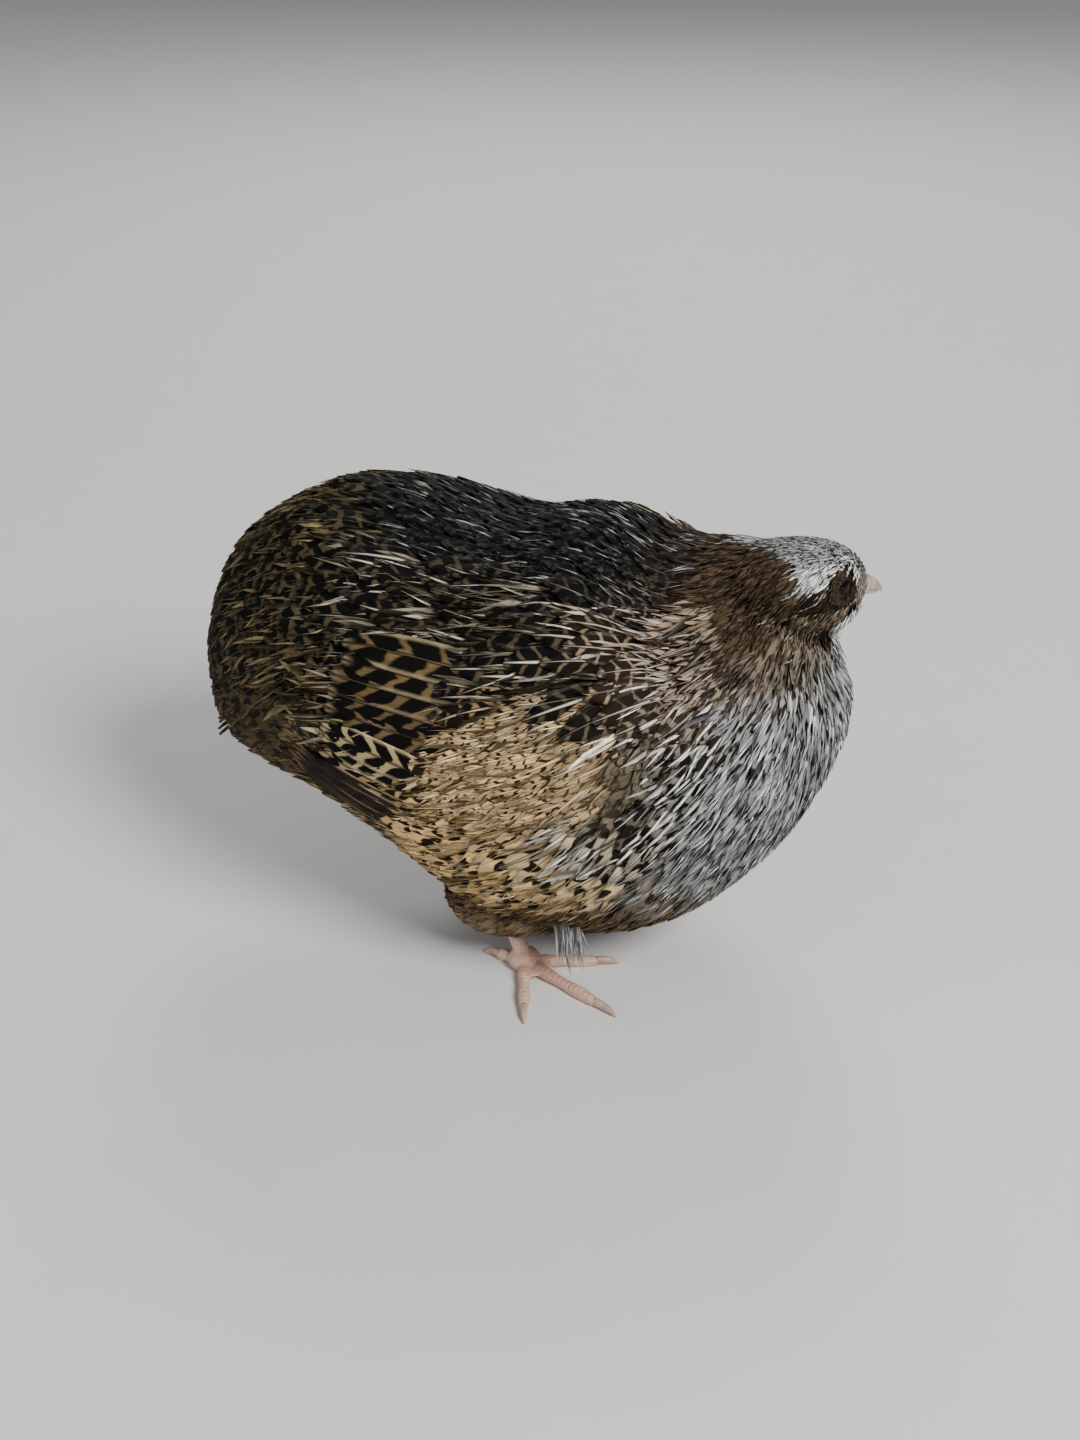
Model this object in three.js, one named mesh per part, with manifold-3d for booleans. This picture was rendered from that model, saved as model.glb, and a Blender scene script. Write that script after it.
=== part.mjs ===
// Coturnix quail hen, life size, standing still and fluffed up.
// Millimetres, +Z up. The bird faces +X, its right side is on -Y, and Z = 0 is the floor.

import * as THREE from 'three';
import { mergeVertices } from 'three/addons/utils/BufferGeometryUtils.js';
import Module from 'manifold-3d';

const wasm = await Module();
wasm.setup();

// Driving dimensions

const GAP = 0.3;
const FLOOR_SINK = 0.3;

// Trunk: each station is its place along X, the top, the bottom and half the width.
const TRUNK_STATIONS = [
  [-70, 86, 36, 17],
  [-60, 91, 33.5, 23.5],
  [-46, 98, 31, 32],
  [-34, 100, 26.5, 38],
  [-18, 98, 18.5, 43],
  [-4, 95.5, 10, 45],
  [9, 98, 7.5, 45],
  [24, 94.5, 9, 42.5],
  [40, 86, 17.5, 37],
  [52, 80, 30, 29.5],
  [66, 76, 47, 21],
];
const TRUNK_REAR = -73;
const TRUNK_REAR_ROUND = 15;
const TRUNK_FRONT = 65.5;
const TRUNK_FRONT_ROUND = 13;
const TRUNK_RINGS = 24;
const TRUNK_SIDES = 28;

const TAIL_CUT_X = -50;
// The tail's rows of coverts lie on a blunt, drooping cone behind the trunk.
const TAIL_STATIONS = [
  [-75, 74, 41, 13],
  [-67, 84, 37, 18.5],
  [-59, 91, 33.5, 24],
  [-50, 96.5, 31.5, 30],
];
const TAIL_CORE_END = -66;
const TAIL_CORE_ROUND = 10;
const TAIL_CORE_INSET = 2.4;

// Head: its middle, and how it is turned to the bird's left and tipped
const HEAD_MIDDLE = new THREE.Vector3(53.3, 4, 88.3);
const HEAD_TURN = 50;
const HEAD_TIP = -9;
const HEAD_ROLL = -4;
// Each station is its place along the head, then up, down and half the width.
const HEAD_STATIONS = [
  [-15, 2.5, 4, 3],
  [-12, 5, 8, 7.5],
  [-7, 6.8, 10.5, 10.4],
  [-1, 7.7, 11.4, 11.4],
  [5, 7.6, 10.8, 10.6],
  [9.5, 6.8, 9.4, 8.7],
  [12.5, 5.3, 7.9, 6.5],
  [15, 3.6, 6, 4.3],
];
const HEAD_SIDES = 20;

const EYE_PLACE = [2.8, 7.4, 1.3];
const EYE_RADIUS = 3;
const EYE_FACES_FORWARD = 16;
const LID_SHELL = 0.75;
const LID_OPENING = [1.95, 1.7];
const LID_RIM = 0.38;

const BILL_START = 13.2;
const BILL_ROOT = 2.5;
const BILL_LENGTH = 10;
const BILL_HALF_WIDTH = 3;
const BILL_UPPER_HEIGHT = 3.1;
const BILL_LOWER_HEIGHT = 1.9;
const BILL_LINE = -2.6;
const BILL_BEND = 1.4;
const MOUTH_GROOVE = [3.4, 1.6, 0.3];
const NOSTRIL = { radius: 0.55, stretch: 1.8, at: [3.4, 2.16, 1.75] };

const NECK_STATIONS = [
  { at: [32, 0, 66], radius: 28 },
  { at: [41, 0.8, 74], radius: 25 },
  { at: [50, 2.2, 79], radius: 19.8 },
  { at: [53, 3.4, 84], radius: 13.5 },
];
const NECK_CUT = { at: [38, 0, 79], rise: 50 };
// The head is parted from the neck along a plane through a point of the head.
const HEAD_CUT = { at: [-4, 0, -8.5], forward: 0.4, lean: [0.15, 0, 0.85] };

const THIGH = { radii: [16, 11, 12], slope: -20, forward: -2.5, out: 18.5, up: 20.5 };
const SHANK_LENGTH = 20.3;
const SHANK_RADII = [1.9, 1.45, 1.4, 1.5, 1.9];
const FOOT_PAD = 3.5;
const PAD_FLATNESS = 0.74;
const TOE_RADIUS = 1.36;
const TOE_TAPER = 0.14;
const TOE_RISE = 0.4;
const TOE_JOINT_SWELL = 0.12;
const CLAW_RADII = [1.05, 0.9, 0.65, 0.2];
const CLAW_ARCH = 0.35;
const CLAW_DROP = 0.75;
const FEET = {
  right: { side: -1, at: [3, -20], turn: -27, lean: [-0.46, 0.1, 0.88] },
  left: { side: 1, at: [-3, 17], turn: 6, lean: [-0.4, -0.1, 0.9] },
};
// Toe angles are away from the middle line of the foot, towards the outer side.
const TOES = [
  { name: 'inner', angle: -48, length: 14.5, claw: 4.5 },
  { name: 'middle', angle: 0, length: 20, claw: 5.5 },
  { name: 'outer', angle: 45, length: 15.5, claw: 4.5 },
  { name: 'hind', angle: 168, length: 5.5, claw: 3.5 },
];

// Colours

const COLOURS = {
  back: 0x3a342b,
  wing: 0x8f8470,
  rump: 0x574c3b,
  breast: 0xb9b4ab,
  neck: 0x6b5d49,
  head: 0x9a948a,
  bill: 0xb0a196,
  eye: 0x120d0a,
  shank: 0xc79c88,
  claw: 0xa08678,
};

// Small helpers

const degrees = THREE.MathUtils.degToRad;
const vector = (x, y, z) => new THREE.Vector3(x, y, z);

function randomFrom(seed) {
  let state = seed;
  return () => {
    state = (state * 1664525 + 1013904223) % 4294967296;
    return state / 4294967296;
  };
}

function between(stations, x, column) {
  const last = stations.length - 1;
  let i = 0;
  while (i < last - 1 && x > stations[i + 1][0]) i += 1;
  const slopeAt = (k) => {
    const before = stations[Math.max(k - 1, 0)];
    const after = stations[Math.min(k + 1, last)];
    return (after[column] - before[column]) / (after[0] - before[0]);
  };
  const [a, b] = [stations[i], stations[i + 1]];
  const step = b[0] - a[0];
  const t = THREE.MathUtils.clamp((x - a[0]) / step, 0, 1);
  const h = t * t * (3 - 2 * t);
  const start = t * (1 - t) * (1 - t) * step * slopeAt(i);
  const end = t * t * (t - 1) * step * slopeAt(i + 1);
  return a[column] * (1 - h) + b[column] * h + start + end;
}

function closedGeometry(rings, mirrored = () => false) {
  const sides = rings[0].length;
  const points = rings.flat().flatMap((p) => [p.x, p.y, p.z]);
  const faces = [];
  for (let r = 0; r < rings.length - 1; r += 1) {
    for (let s = 0; s < sides; s += 1) {
      const a = r * sides + s;
      const b = r * sides + ((s + 1) % sides);
      const [c, d] = [a + sides, b + sides];
      faces.push(...(mirrored(s) ? [a, b, c, b, d, c] : [a, b, d, a, d, c]));
    }
  }
  const addCap = (ring, offset, front) => {
    const middle = ring.reduce((sum, p) => sum.add(p), vector(0, 0, 0)).divideScalar(sides);
    const index = points.length / 3;
    points.push(middle.x, middle.y, middle.z);
    for (let s = 0; s < sides; s += 1) {
      const [a, b] = [offset + s, offset + ((s + 1) % sides)];
      faces.push(...(front ? [index, b, a] : [index, a, b]));
    }
  };
  addCap(rings[0], 0, true);
  addCap(rings[rings.length - 1], (rings.length - 1) * sides, false);
  const geometry = new THREE.BufferGeometry();
  geometry.setAttribute('position', new THREE.Float32BufferAttribute(points, 3));
  geometry.setIndex(faces);
  return geometry;
}

function solid(geometry) {
  const plain = geometry.clone();
  plain.deleteAttribute('normal');
  plain.deleteAttribute('uv');
  const merged = mergeVertices(plain, 1e-4);
  const positions = new Float32Array(merged.attributes.position.array);
  const indices = new Uint32Array(merged.index.array);
  let volume = 0;
  const at = (i) => vector().fromArray(positions, i * 3);
  for (let i = 0; i < indices.length; i += 3) {
    volume += at(indices[i]).dot(at(indices[i + 1]).cross(at(indices[i + 2])));
  }
  if (volume < 0) indices.reverse();
  return new wasm.Manifold(new wasm.Mesh({ numProp: 3, vertProperties: positions, triVerts: indices }));
}

function largest(manifold) {
  return manifold.decompose().reduce((best, piece) => (piece.volume() > best.volume() ? piece : best));
}

function geometryOf(manifold) {
  const mesh = largest(manifold).getMesh();
  const geometry = new THREE.BufferGeometry();
  geometry.setAttribute('position', new THREE.Float32BufferAttribute(mesh.vertProperties, 3));
  geometry.setIndex(Array.from(mesh.triVerts));
  return geometry;
}

function joined(pieces) {
  return pieces.reduce((whole, piece) => whole.add(piece));
}

// A large block whose one face lies in the plane through a point, on the side of the direction
function halfSpace(point, direction, setBack = 0) {
  const size = 400;
  const block = new THREE.BoxGeometry(size, size, size);
  const turn = new THREE.Quaternion().setFromUnitVectors(vector(0, 0, 1), direction.clone().normalize());
  block.translate(0, 0, size / 2 + setBack);
  block.applyQuaternion(turn);
  block.translate(point.x, point.y, point.z);
  return solid(block);
}

const aboveFloor = halfSpace(vector(0, 0, 0), vector(0, 0, 1));

// Trunk

function sectionAt(stations, x) {
  const [top, bottom, half] = [1, 2, 3].map((column) => between(stations, x, column));
  return { middle: (top + bottom) / 2, height: (top - bottom) / 2, half };
}

function trunkAt(x) {
  const { middle, height, half } = sectionAt(TRUNK_STATIONS, x);
  const front = Math.max(0, (x - (TRUNK_FRONT - TRUNK_FRONT_ROUND)) / TRUNK_FRONT_ROUND);
  const rear = Math.max(0, (TRUNK_REAR + TRUNK_REAR_ROUND - x) / TRUNK_REAR_ROUND);
  const end = Math.min(1, Math.max(front, rear));
  const closing = Math.sqrt(1 - end * end);
  return { middle, height: height * closing, half: half * closing };
}

const tailAt = (x) => sectionAt(TAIL_STATIONS, x);

// A point on the trunk or tail: the angle runs from 0 on the back to 180 on the belly.
function surfacePoint(at, x, angle, side, offset = 0) {
  const { middle, height, half } = at(x);
  const a = degrees(angle);
  const point = vector(x, side * half * Math.sin(a), middle + height * Math.cos(a));
  return offset === 0 ? point : point.addScaledVector(surfaceNormal(at, x, angle, side), offset);
}

function surfaceNormal(at, x, angle, side) {
  const { height, half } = at(x);
  const a = degrees(angle);
  const step = 1.5;
  const along = surfacePoint(at, x + step, angle, side).sub(surfacePoint(at, x - step, angle, side));
  const round = vector(0, side * half * Math.cos(a), -height * Math.sin(a));
  return along.cross(round).multiplyScalar(side).normalize();
}

const trunkPoint = (x, angle, side, offset) => surfacePoint(trunkAt, x, angle, side, offset);

function trunkSolid(grow = 0) {
  const rings = [];
  for (let r = 0; r <= TRUNK_RINGS; r += 1) {
    const sweep = -Math.cos((Math.PI * (r + 0.35)) / (TRUNK_RINGS + 0.7));
    const x = (TRUNK_REAR + TRUNK_FRONT) / 2 + (sweep * (TRUNK_FRONT - TRUNK_REAR)) / 2;
    const { middle, height, half } = trunkAt(x);
    const ring = [];
    for (let s = 0; s < TRUNK_SIDES; s += 1) {
      const a = (2 * Math.PI * s) / TRUNK_SIDES;
      ring.push(vector(x, (half + grow) * Math.sin(a), middle + (height + grow) * Math.cos(a)));
    }
    rings.push(ring);
  }
  return solid(closedGeometry(rings));
}

// A feather vane, thin and closed: it runs along a path of points with a normal at each.
const VANE_STEPS = [0, 0.34, 0.68, 0.92, 1];
const VANE_WIDTHS = [0.42, 0.92, 1, 0.62, 0.16];

function vane(path, width, { thickness = 0.6, roll = 0, camber = 0.12 } = {}) {
  const rings = VANE_STEPS.map((t, i) => {
    const { point, normal } = path(t);
    const ahead = path(Math.min(t + 0.02, 1)).point;
    const behind = path(Math.max(t - 0.02, 0)).point;
    const along = ahead.sub(behind).normalize();
    const across = along.clone().cross(normal).normalize();
    const up = across.clone().cross(along).normalize();
    across.applyAxisAngle(along, degrees(roll));
    up.applyAxisAngle(along, degrees(roll));
    const half = (width / 2) * VANE_WIDTHS[i];
    const corner = (side, height) => (
      point.clone().addScaledVector(across, side * half).addScaledVector(up, height)
    );
    const drop = -camber * half;
    const ridge = thickness * 0.25;
    return [
      corner(-1, drop + thickness / 2),
      corner(0, thickness / 2 + ridge),
      corner(1, drop + thickness / 2),
      corner(1, drop - thickness / 2),
      corner(0, -thickness / 2),
      corner(-1, drop - thickness / 2),
    ];
  });
  return solid(closedGeometry(rings, (s) => s >= 3));
}

// A vane that follows a surface from one place and height above it to another
function surfaceVane(at, side, from, to, width, options = {}) {
  const path = (t) => {
    const [x, angle, offset] = from.map((value, i) => value + (to[i] - value) * t);
    return { point: surfacePoint(at, x, angle, side, offset), normal: surfaceNormal(at, x, angle, side) };
  };
  return vane(path, width, { ...options, roll: (options.roll ?? 0) * side });
}

// Wings: the closed wing is a low shell on the side of the trunk with its feathers in tiers.
const WING_EDGE = [
  [-34, 74, 98],
  [-22, 56, 100],
  [-6, 42, 97],
  [12, 36, 92],
  [28, 38, 86],
  [42, 52, 76],
];
const WING_PROUD = 3.4;
const WING_DEPTH = 2.6;
const WING_RINGS = 12;
const WING_ACROSS = 9;

function wingShell(side, grow = 0) {
  const [rear, front] = [WING_EDGE[0][0] - grow, WING_EDGE[WING_EDGE.length - 1][0] + grow];
  const rings = [];
  for (let r = 0; r <= WING_RINGS; r += 1) {
    const t = r / WING_RINGS;
    const x = rear + (front - rear) * t;
    const fullness = 0.25 + 0.75 * Math.sin(Math.PI * Math.min(1, 0.12 + 0.76 * t)) ** 0.5;
    const spread = degrees(1) * trunkAt(x).half;
    const upper = between(WING_EDGE, x, 1) - grow / spread;
    const lower = between(WING_EDGE, x, 2) + grow / spread;
    const outer = [];
    const inner = [];
    for (let s = 0; s <= WING_ACROSS; s += 1) {
      const across = s / WING_ACROSS;
      const angle = upper + (lower - upper) * across;
      const rise = Math.sin(Math.PI * (0.04 + 0.92 * across)) ** 0.5;
      outer.push(trunkPoint(x, angle, side, WING_PROUD * fullness * rise + grow));
      if (s % 3 === 0) inner.push(trunkPoint(x, angle, side, -WING_DEPTH * fullness - grow));
    }
    rings.push([...outer, ...inner.reverse()]);
  }
  return solid(closedGeometry(rings));
}

// Each tier: how many, the first and last root as place, angle, and how the tips lie from the roots.
const WING_TIERS = [
  { count: 4, first: [-12, 88], last: [-17, 98], reach: [-33, 13], heights: [1.2, 3], width: 8, roll: 5 },
  { count: 5, first: [-8, 56], last: [-4, 88], reach: [-31, 9], heights: [1.5, 3.8], width: 11, roll: -7 },
  { count: 5, first: [10, 50], last: [14, 84], reach: [-26, 6], heights: [1.6, 4.6], width: 11, roll: -7 },
  { count: 4, first: [27, 50], last: [30, 78], reach: [-21, 5], heights: [1.6, 5], width: 11, roll: -7 },
];

function wingVanes(side) {
  const random = randomFrom(side > 0 ? 71 : 37);
  const wobble = (size) => (random() - 0.5) * size;
  return WING_TIERS.flatMap((tier) => Array.from({ length: tier.count }, (_, i) => {
    const t = i / (tier.count - 1);
    const x = THREE.MathUtils.lerp(tier.first[0], tier.last[0], t) + wobble(1.5);
    const angle = THREE.MathUtils.lerp(tier.first[1], tier.last[1], t) + wobble(1.5);
    const tip = [x + tier.reach[0] + wobble(3), angle + tier.reach[1], tier.heights[1] + wobble(0.4)];
    return surfaceVane(trunkAt, side, [x, angle, tier.heights[0]], tip, tier.width, { roll: tier.roll });
  }));
}

// Tail: short feathers in a fan, hidden above by rows of long coverts
const TAIL_FAN = { root: [-52, 0, 58], count: 6, spread: 52, length: 28, width: 9, drop: 38 };
const TAIL_TIERS = [
  { count: 4, root: -55, angles: [17, 106], reach: [-18, 4], heights: [-3.2, 0.2], width: 12.5 },
  { count: 5, root: -47.5, angles: [10, 112], reach: [-15, 5], heights: [-3.4, 1.5], width: 13 },
];

function tailCoreSolid() {
  const rings = [];
  const steps = 7;
  const start = TAIL_CUT_X - GAP / 2;
  for (let r = 0; r <= steps; r += 1) {
    const x = start + (TAIL_CORE_END - start) * Math.sin((Math.PI / 2) * (r / (steps + 0.5)));
    const { middle, height, half } = tailAt(x);
    const end = Math.max(0, (TAIL_CORE_END + TAIL_CORE_ROUND - x) / TAIL_CORE_ROUND);
    const closing = Math.sqrt(1 - Math.min(1, end) ** 2);
    const inset = TAIL_CORE_INSET * Math.min(1, r / 2);
    const [wide, high] = [(half - inset) * closing, (height - inset) * closing];
    const ring = [];
    for (let s = 0; s < TRUNK_SIDES; s += 1) {
      const a = (2 * Math.PI * s) / TRUNK_SIDES;
      ring.push(vector(x, wide * Math.sin(a), middle + high * Math.cos(a)));
    }
    rings.push(ring);
  }
  return solid(closedGeometry(rings));
}

function fanVanes() {
  const root = vector(...TAIL_FAN.root);
  return Array.from({ length: TAIL_FAN.count }, (_, i) => {
    const t = i / (TAIL_FAN.count - 1) - 0.5;
    const yaw = degrees(t * TAIL_FAN.spread);
    const drop = degrees(TAIL_FAN.drop);
    const along = vector(-Math.cos(yaw) * Math.cos(drop), Math.sin(yaw) * Math.cos(drop), -Math.sin(drop));
    const lift = vector(-Math.sin(drop), 0, Math.cos(drop));
    const start = root.clone().addScaledVector(lift, -Math.abs(t) * 2.5);
    const path = (u) => ({ point: start.clone().addScaledVector(along, TAIL_FAN.length * u), normal: lift });
    return vane(path, TAIL_FAN.width, { thickness: 0.7, roll: -Math.sign(t) * 8 });
  });
}

function tailVanes() {
  const random = randomFrom(11);
  const rows = TAIL_TIERS.flatMap((tier) => [-1, 1].flatMap((side) => (
    Array.from({ length: tier.count }, (_, i) => {
      const angle = THREE.MathUtils.lerp(tier.angles[0], tier.angles[1], i / (tier.count - 1));
      const root = [tier.root, angle, tier.heights[0]];
      const tip = [tier.root + tier.reach[0] + (random() - 0.5) * 3, angle + tier.reach[1], tier.heights[1]];
      return surfaceVane(tailAt, side, root, tip, tier.width, { roll: -5 });
    })
  )));
  return [...fanVanes(), ...rows];
}

// Neck and head

function tubeSolid(stations, sides = 20) {
  const path = new THREE.CatmullRomCurve3(stations.map((station) => vector(...station.at)));
  const rings = stations.map((station, i) => {
    const along = path.getTangent(i / (stations.length - 1));
    const across = vector(0, 1, 0).cross(along).normalize();
    const up = along.clone().cross(across).normalize();
    return Array.from({ length: sides }, (_, s) => {
      const a = (2 * Math.PI * s) / sides;
      return vector(...station.at)
        .addScaledVector(across, station.radius * Math.cos(a))
        .addScaledVector(up, station.radius * Math.sin(a));
    });
  });
  return solid(closedGeometry(rings));
}

const headForward = vector(1, 0, 0);
const headLeft = vector(0, 1, 0);
const headUp = vector(0, 0, 1);
for (const axis of [headForward, headLeft, headUp]) {
  axis.applyAxisAngle(vector(1, 0, 0), degrees(-HEAD_ROLL));
  axis.applyAxisAngle(vector(0, 1, 0), degrees(-HEAD_TIP));
  axis.applyAxisAngle(vector(0, 0, 1), degrees(HEAD_TURN));
}

function inHead(forward, left, up) {
  return HEAD_MIDDLE.clone()
    .addScaledVector(headForward, forward)
    .addScaledVector(headLeft, left)
    .addScaledVector(headUp, up);
}

function headSolid() {
  const rings = [];
  const steps = 12;
  const [back, front] = [HEAD_STATIONS[0][0], HEAD_STATIONS[HEAD_STATIONS.length - 1][0]];
  for (let r = 0; r <= steps; r += 1) {
    const f = (back + front) / 2 - (Math.cos((Math.PI * r) / steps) * (front - back)) / 2;
    const [up, down, half] = [1, 2, 3].map((column) => between(HEAD_STATIONS, f, column));
    rings.push(Array.from({ length: HEAD_SIDES }, (_, s) => {
      const a = (2 * Math.PI * s) / HEAD_SIDES;
      const height = Math.cos(a) > 0 ? up : down;
      return inHead(f, half * Math.sin(a), height * Math.cos(a) - 0.6);
    }));
  }
  return solid(closedGeometry(rings));
}

function eyeBall(side, grow = 0) {
  const ball = new THREE.SphereGeometry(EYE_RADIUS + grow, 12, 8);
  const place = inHead(EYE_PLACE[0], side * EYE_PLACE[1], EYE_PLACE[2]);
  ball.translate(place.x, place.y, place.z);
  return solid(ball);
}

// Places a geometry made about +Z so that +Z looks out of the eye and +X along the head.
function atEye(geometry, side, distance) {
  const out = headLeft.clone().multiplyScalar(side).applyAxisAngle(headUp, -side * degrees(EYE_FACES_FORWARD));
  const along = headUp.clone().cross(out).normalize();
  geometry.applyMatrix4(new THREE.Matrix4().makeBasis(along, headUp, out));
  const place = inHead(EYE_PLACE[0], side * EYE_PLACE[1], EYE_PLACE[2]).addScaledVector(out, distance);
  geometry.translate(place.x, place.y, place.z);
  return solid(geometry);
}

// The lids are a thin mound over the eyeball with an oval opening and a rim round it.
function lidMound(side) {
  return eyeBall(side, GAP + LID_SHELL);
}

function lidOpening(side) {
  const opening = new THREE.CylinderGeometry(1, 1, 2 * EYE_RADIUS, 14);
  opening.rotateX(Math.PI / 2);
  opening.scale(...LID_OPENING, 1);
  return atEye(opening, side, 2 * EYE_RADIUS);
}

function lidRim(side) {
  const rim = new THREE.TorusGeometry(1, LID_RIM / LID_OPENING[0], 5, 14);
  rim.scale(LID_OPENING[0] + LID_RIM * 0.6, LID_OPENING[1] + LID_RIM * 0.6, LID_OPENING[0]);
  return atEye(rim, side, Math.sqrt(EYE_RADIUS ** 2 - LID_OPENING[1] ** 2) + GAP + LID_SHELL * 0.8);
}

// The line of the mouth runs on behind the bill as a fine groove in each cheek.
function mouthGroove(side) {
  const groove = new THREE.SphereGeometry(1, 10, 4);
  groove.scale(...MOUTH_GROOVE);
  groove.applyMatrix4(new THREE.Matrix4().makeBasis(headForward, headLeft, headUp));
  const place = inHead(BILL_START - 1.5, side * (BILL_HALF_WIDTH + 1.8), BILL_LINE);
  groove.translate(place.x, place.y, place.z);
  return solid(groove);
}

// The bill narrows to its tip, the upper half hooked a little over the lower.
function billSolid(upper, grow = 0) {
  const rings = [];
  const steps = 7;
  for (let r = 0; r <= steps; r += 1) {
    const t = r / steps;
    const reach = upper ? BILL_LENGTH : BILL_LENGTH * 0.86;
    const f = BILL_START - BILL_ROOT + (BILL_ROOT + reach) * t - (r === 0 ? grow : 0);
    const narrow = Math.sqrt(1 - 0.93 * t ** 1.7);
    const width = BILL_HALF_WIDTH * narrow + grow;
    const height = (upper ? BILL_UPPER_HEIGHT : BILL_LOWER_HEIGHT) * narrow + 2 * grow;
    const line = BILL_LINE - BILL_BEND * t ** 2 + (upper ? 1 : -1) * (GAP / 2 - grow);
    const sides = 12;
    rings.push(Array.from({ length: sides + 1 }, (_, s) => {
      const a = (Math.PI * s) / sides;
      const across = width * Math.cos(a);
      return inHead(f, upper ? across : -across, line + (upper ? 1 : -1) * height * Math.sin(a));
    }));
  }
  return solid(closedGeometry(rings));
}

function nostril(side) {
  const hole = new THREE.SphereGeometry(NOSTRIL.radius, 10, 6);
  hole.scale(NOSTRIL.stretch, 1, 1);
  hole.applyQuaternion(new THREE.Quaternion().setFromUnitVectors(vector(1, 0, 0), headForward));
  const place = inHead(BILL_START + NOSTRIL.at[0], side * NOSTRIL.at[1], BILL_LINE + NOSTRIL.at[2]);
  hole.translate(place.x, place.y, place.z);
  return solid(hole);
}

// Legs

function limb(points, radii, sides) {
  const path = new THREE.CatmullRomCurve3(points);
  const steps = radii.length - 1;
  const rings = radii.map((radius, i) => {
    const at = path.getPoint(i / steps);
    const along = path.getTangent(i / steps);
    const across = along.clone().cross(Math.abs(along.z) > 0.9 ? vector(1, 0, 0) : vector(0, 0, 1)).normalize();
    const up = across.clone().cross(along).normalize();
    return Array.from({ length: sides }, (_, s) => {
      const a = (2 * Math.PI * (s + 0.5)) / sides;
      return at.clone().addScaledVector(across, radius * Math.cos(a)).addScaledVector(up, radius * Math.sin(a));
    });
  });
  return solid(closedGeometry(rings));
}

function thighSolid(foot, grow = 0) {
  const ball = new THREE.SphereGeometry(1, 16, 10);
  ball.scale(...THIGH.radii.map((radius) => radius + grow));
  ball.rotateY(degrees(THIGH.slope));
  ball.translate(foot.at[0] + THIGH.forward, foot.side * THIGH.out, THIGH.up);
  return solid(ball);
}

function padSolid(foot, grow = 0) {
  const ball = new THREE.SphereGeometry(FOOT_PAD + grow, 10, 6);
  ball.scale(1, 1, PAD_FLATNESS);
  ball.translate(foot.at[0], foot.at[1], FOOT_PAD * PAD_FLATNESS - FLOOR_SINK);
  return solid(ball);
}

function shankSolid(foot) {
  const base = vector(foot.at[0], foot.at[1], FOOT_PAD * 0.8);
  const lean = vector(...foot.lean).normalize();
  const points = [0, 0.25, 0.6, 1].map((t) => base.clone().addScaledVector(lean, SHANK_LENGTH * t));
  return limb(points, SHANK_RADII, 8);
}

function toePath(foot, toe) {
  const a = degrees(foot.turn + toe.angle * foot.side);
  const along = vector(Math.cos(a), Math.sin(a), 0);
  const point = (t) => (
    vector(foot.at[0], foot.at[1], TOE_RADIUS - FLOOR_SINK + TOE_RISE * (1 - t))
      .addScaledVector(along, FOOT_PAD * 0.4 + toe.length * t)
  );
  return { along, point };
}

function toeSolid(foot, toe) {
  const { point } = toePath(foot, toe);
  const steps = toe.name === 'hind' ? 3 : 6;
  const radii = Array.from({ length: steps + 1 }, (_, i) => {
    const t = i / steps;
    return TOE_RADIUS * (1 - TOE_TAPER * t) - TOE_JOINT_SWELL * Math.cos(t * Math.PI * 4);
  });
  return limb([0, 0.33, 0.66, 1].map(point), radii, 8);
}

function clawSolid(foot, toe) {
  const { along, point } = toePath(foot, toe);
  const start = point(1).addScaledVector(along, GAP);
  const points = [0, 0.5, 1].map((t) => {
    const rise = CLAW_ARCH * Math.sin(Math.PI * t) - CLAW_DROP * t * t;
    return start.clone().addScaledVector(along, toe.claw * t).add(vector(0, 0, rise));
  });
  return limb(points, CLAW_RADII, 6);
}

// The whole bird

const bird = new THREE.Group();

function addNode(name, manifold, colour, roughness = 0.9) {
  const material = new THREE.MeshStandardMaterial({ color: colour, roughness, metalness: 0 });
  const mesh = new THREE.Mesh(geometryOf(manifold), material);
  mesh.name = name;
  bird.add(mesh);
}

const neckDirection = vector(Math.cos(degrees(NECK_CUT.rise)), 0, Math.sin(degrees(NECK_CUT.rise)));
const neckPlane = vector(...NECK_CUT.at);
const headPlane = inHead(...HEAD_CUT.at);
const headDirection = headForward.clone().multiplyScalar(HEAD_CUT.forward).add(vector(...HEAD_CUT.lean));

const trunk = trunkSolid();
const grownTrunk = trunkSolid(GAP);
const neckTube = tubeSolid(NECK_STATIONS);
const head = headSolid();
const whole = joined([trunk, neckTube, head]);

const inNeck = (set) => halfSpace(neckPlane, neckDirection, set);
const inHeadRegion = (set) => halfSpace(headPlane, headDirection, set);

const beforeTail = halfSpace(vector(TAIL_CUT_X, 0, 0), vector(1, 0, 0), GAP / 2);
let torso = whole.subtract(inNeck(-GAP / 2)).intersect(beforeTail);
const neck = whole.intersect(inNeck(GAP / 2)).subtract(inHeadRegion(-GAP / 2));
const behindTrunk = halfSpace(vector(TAIL_CUT_X - GAP / 2, 0, 0), vector(-1, 0, 0));
const tail = joined([tailCoreSolid(), ...tailVanes()]).intersect(behindTrunk);
let skull = whole.intersect(inHeadRegion(GAP / 2)).intersect(inNeck(GAP / 2));

const upperBill = billSolid(true).subtract(nostril(-1)).subtract(nostril(1));
const lowerBill = billSolid(false);
for (const side of [-1, 1]) {
  skull = skull.add(lidMound(side)).subtract(eyeBall(side, GAP)).subtract(lidOpening(side));
  skull = skull.add(lidRim(side)).subtract(eyeBall(side, GAP)).subtract(mouthGroove(side));
}
for (const upper of [true, false]) skull = skull.subtract(billSolid(upper, GAP));

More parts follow.
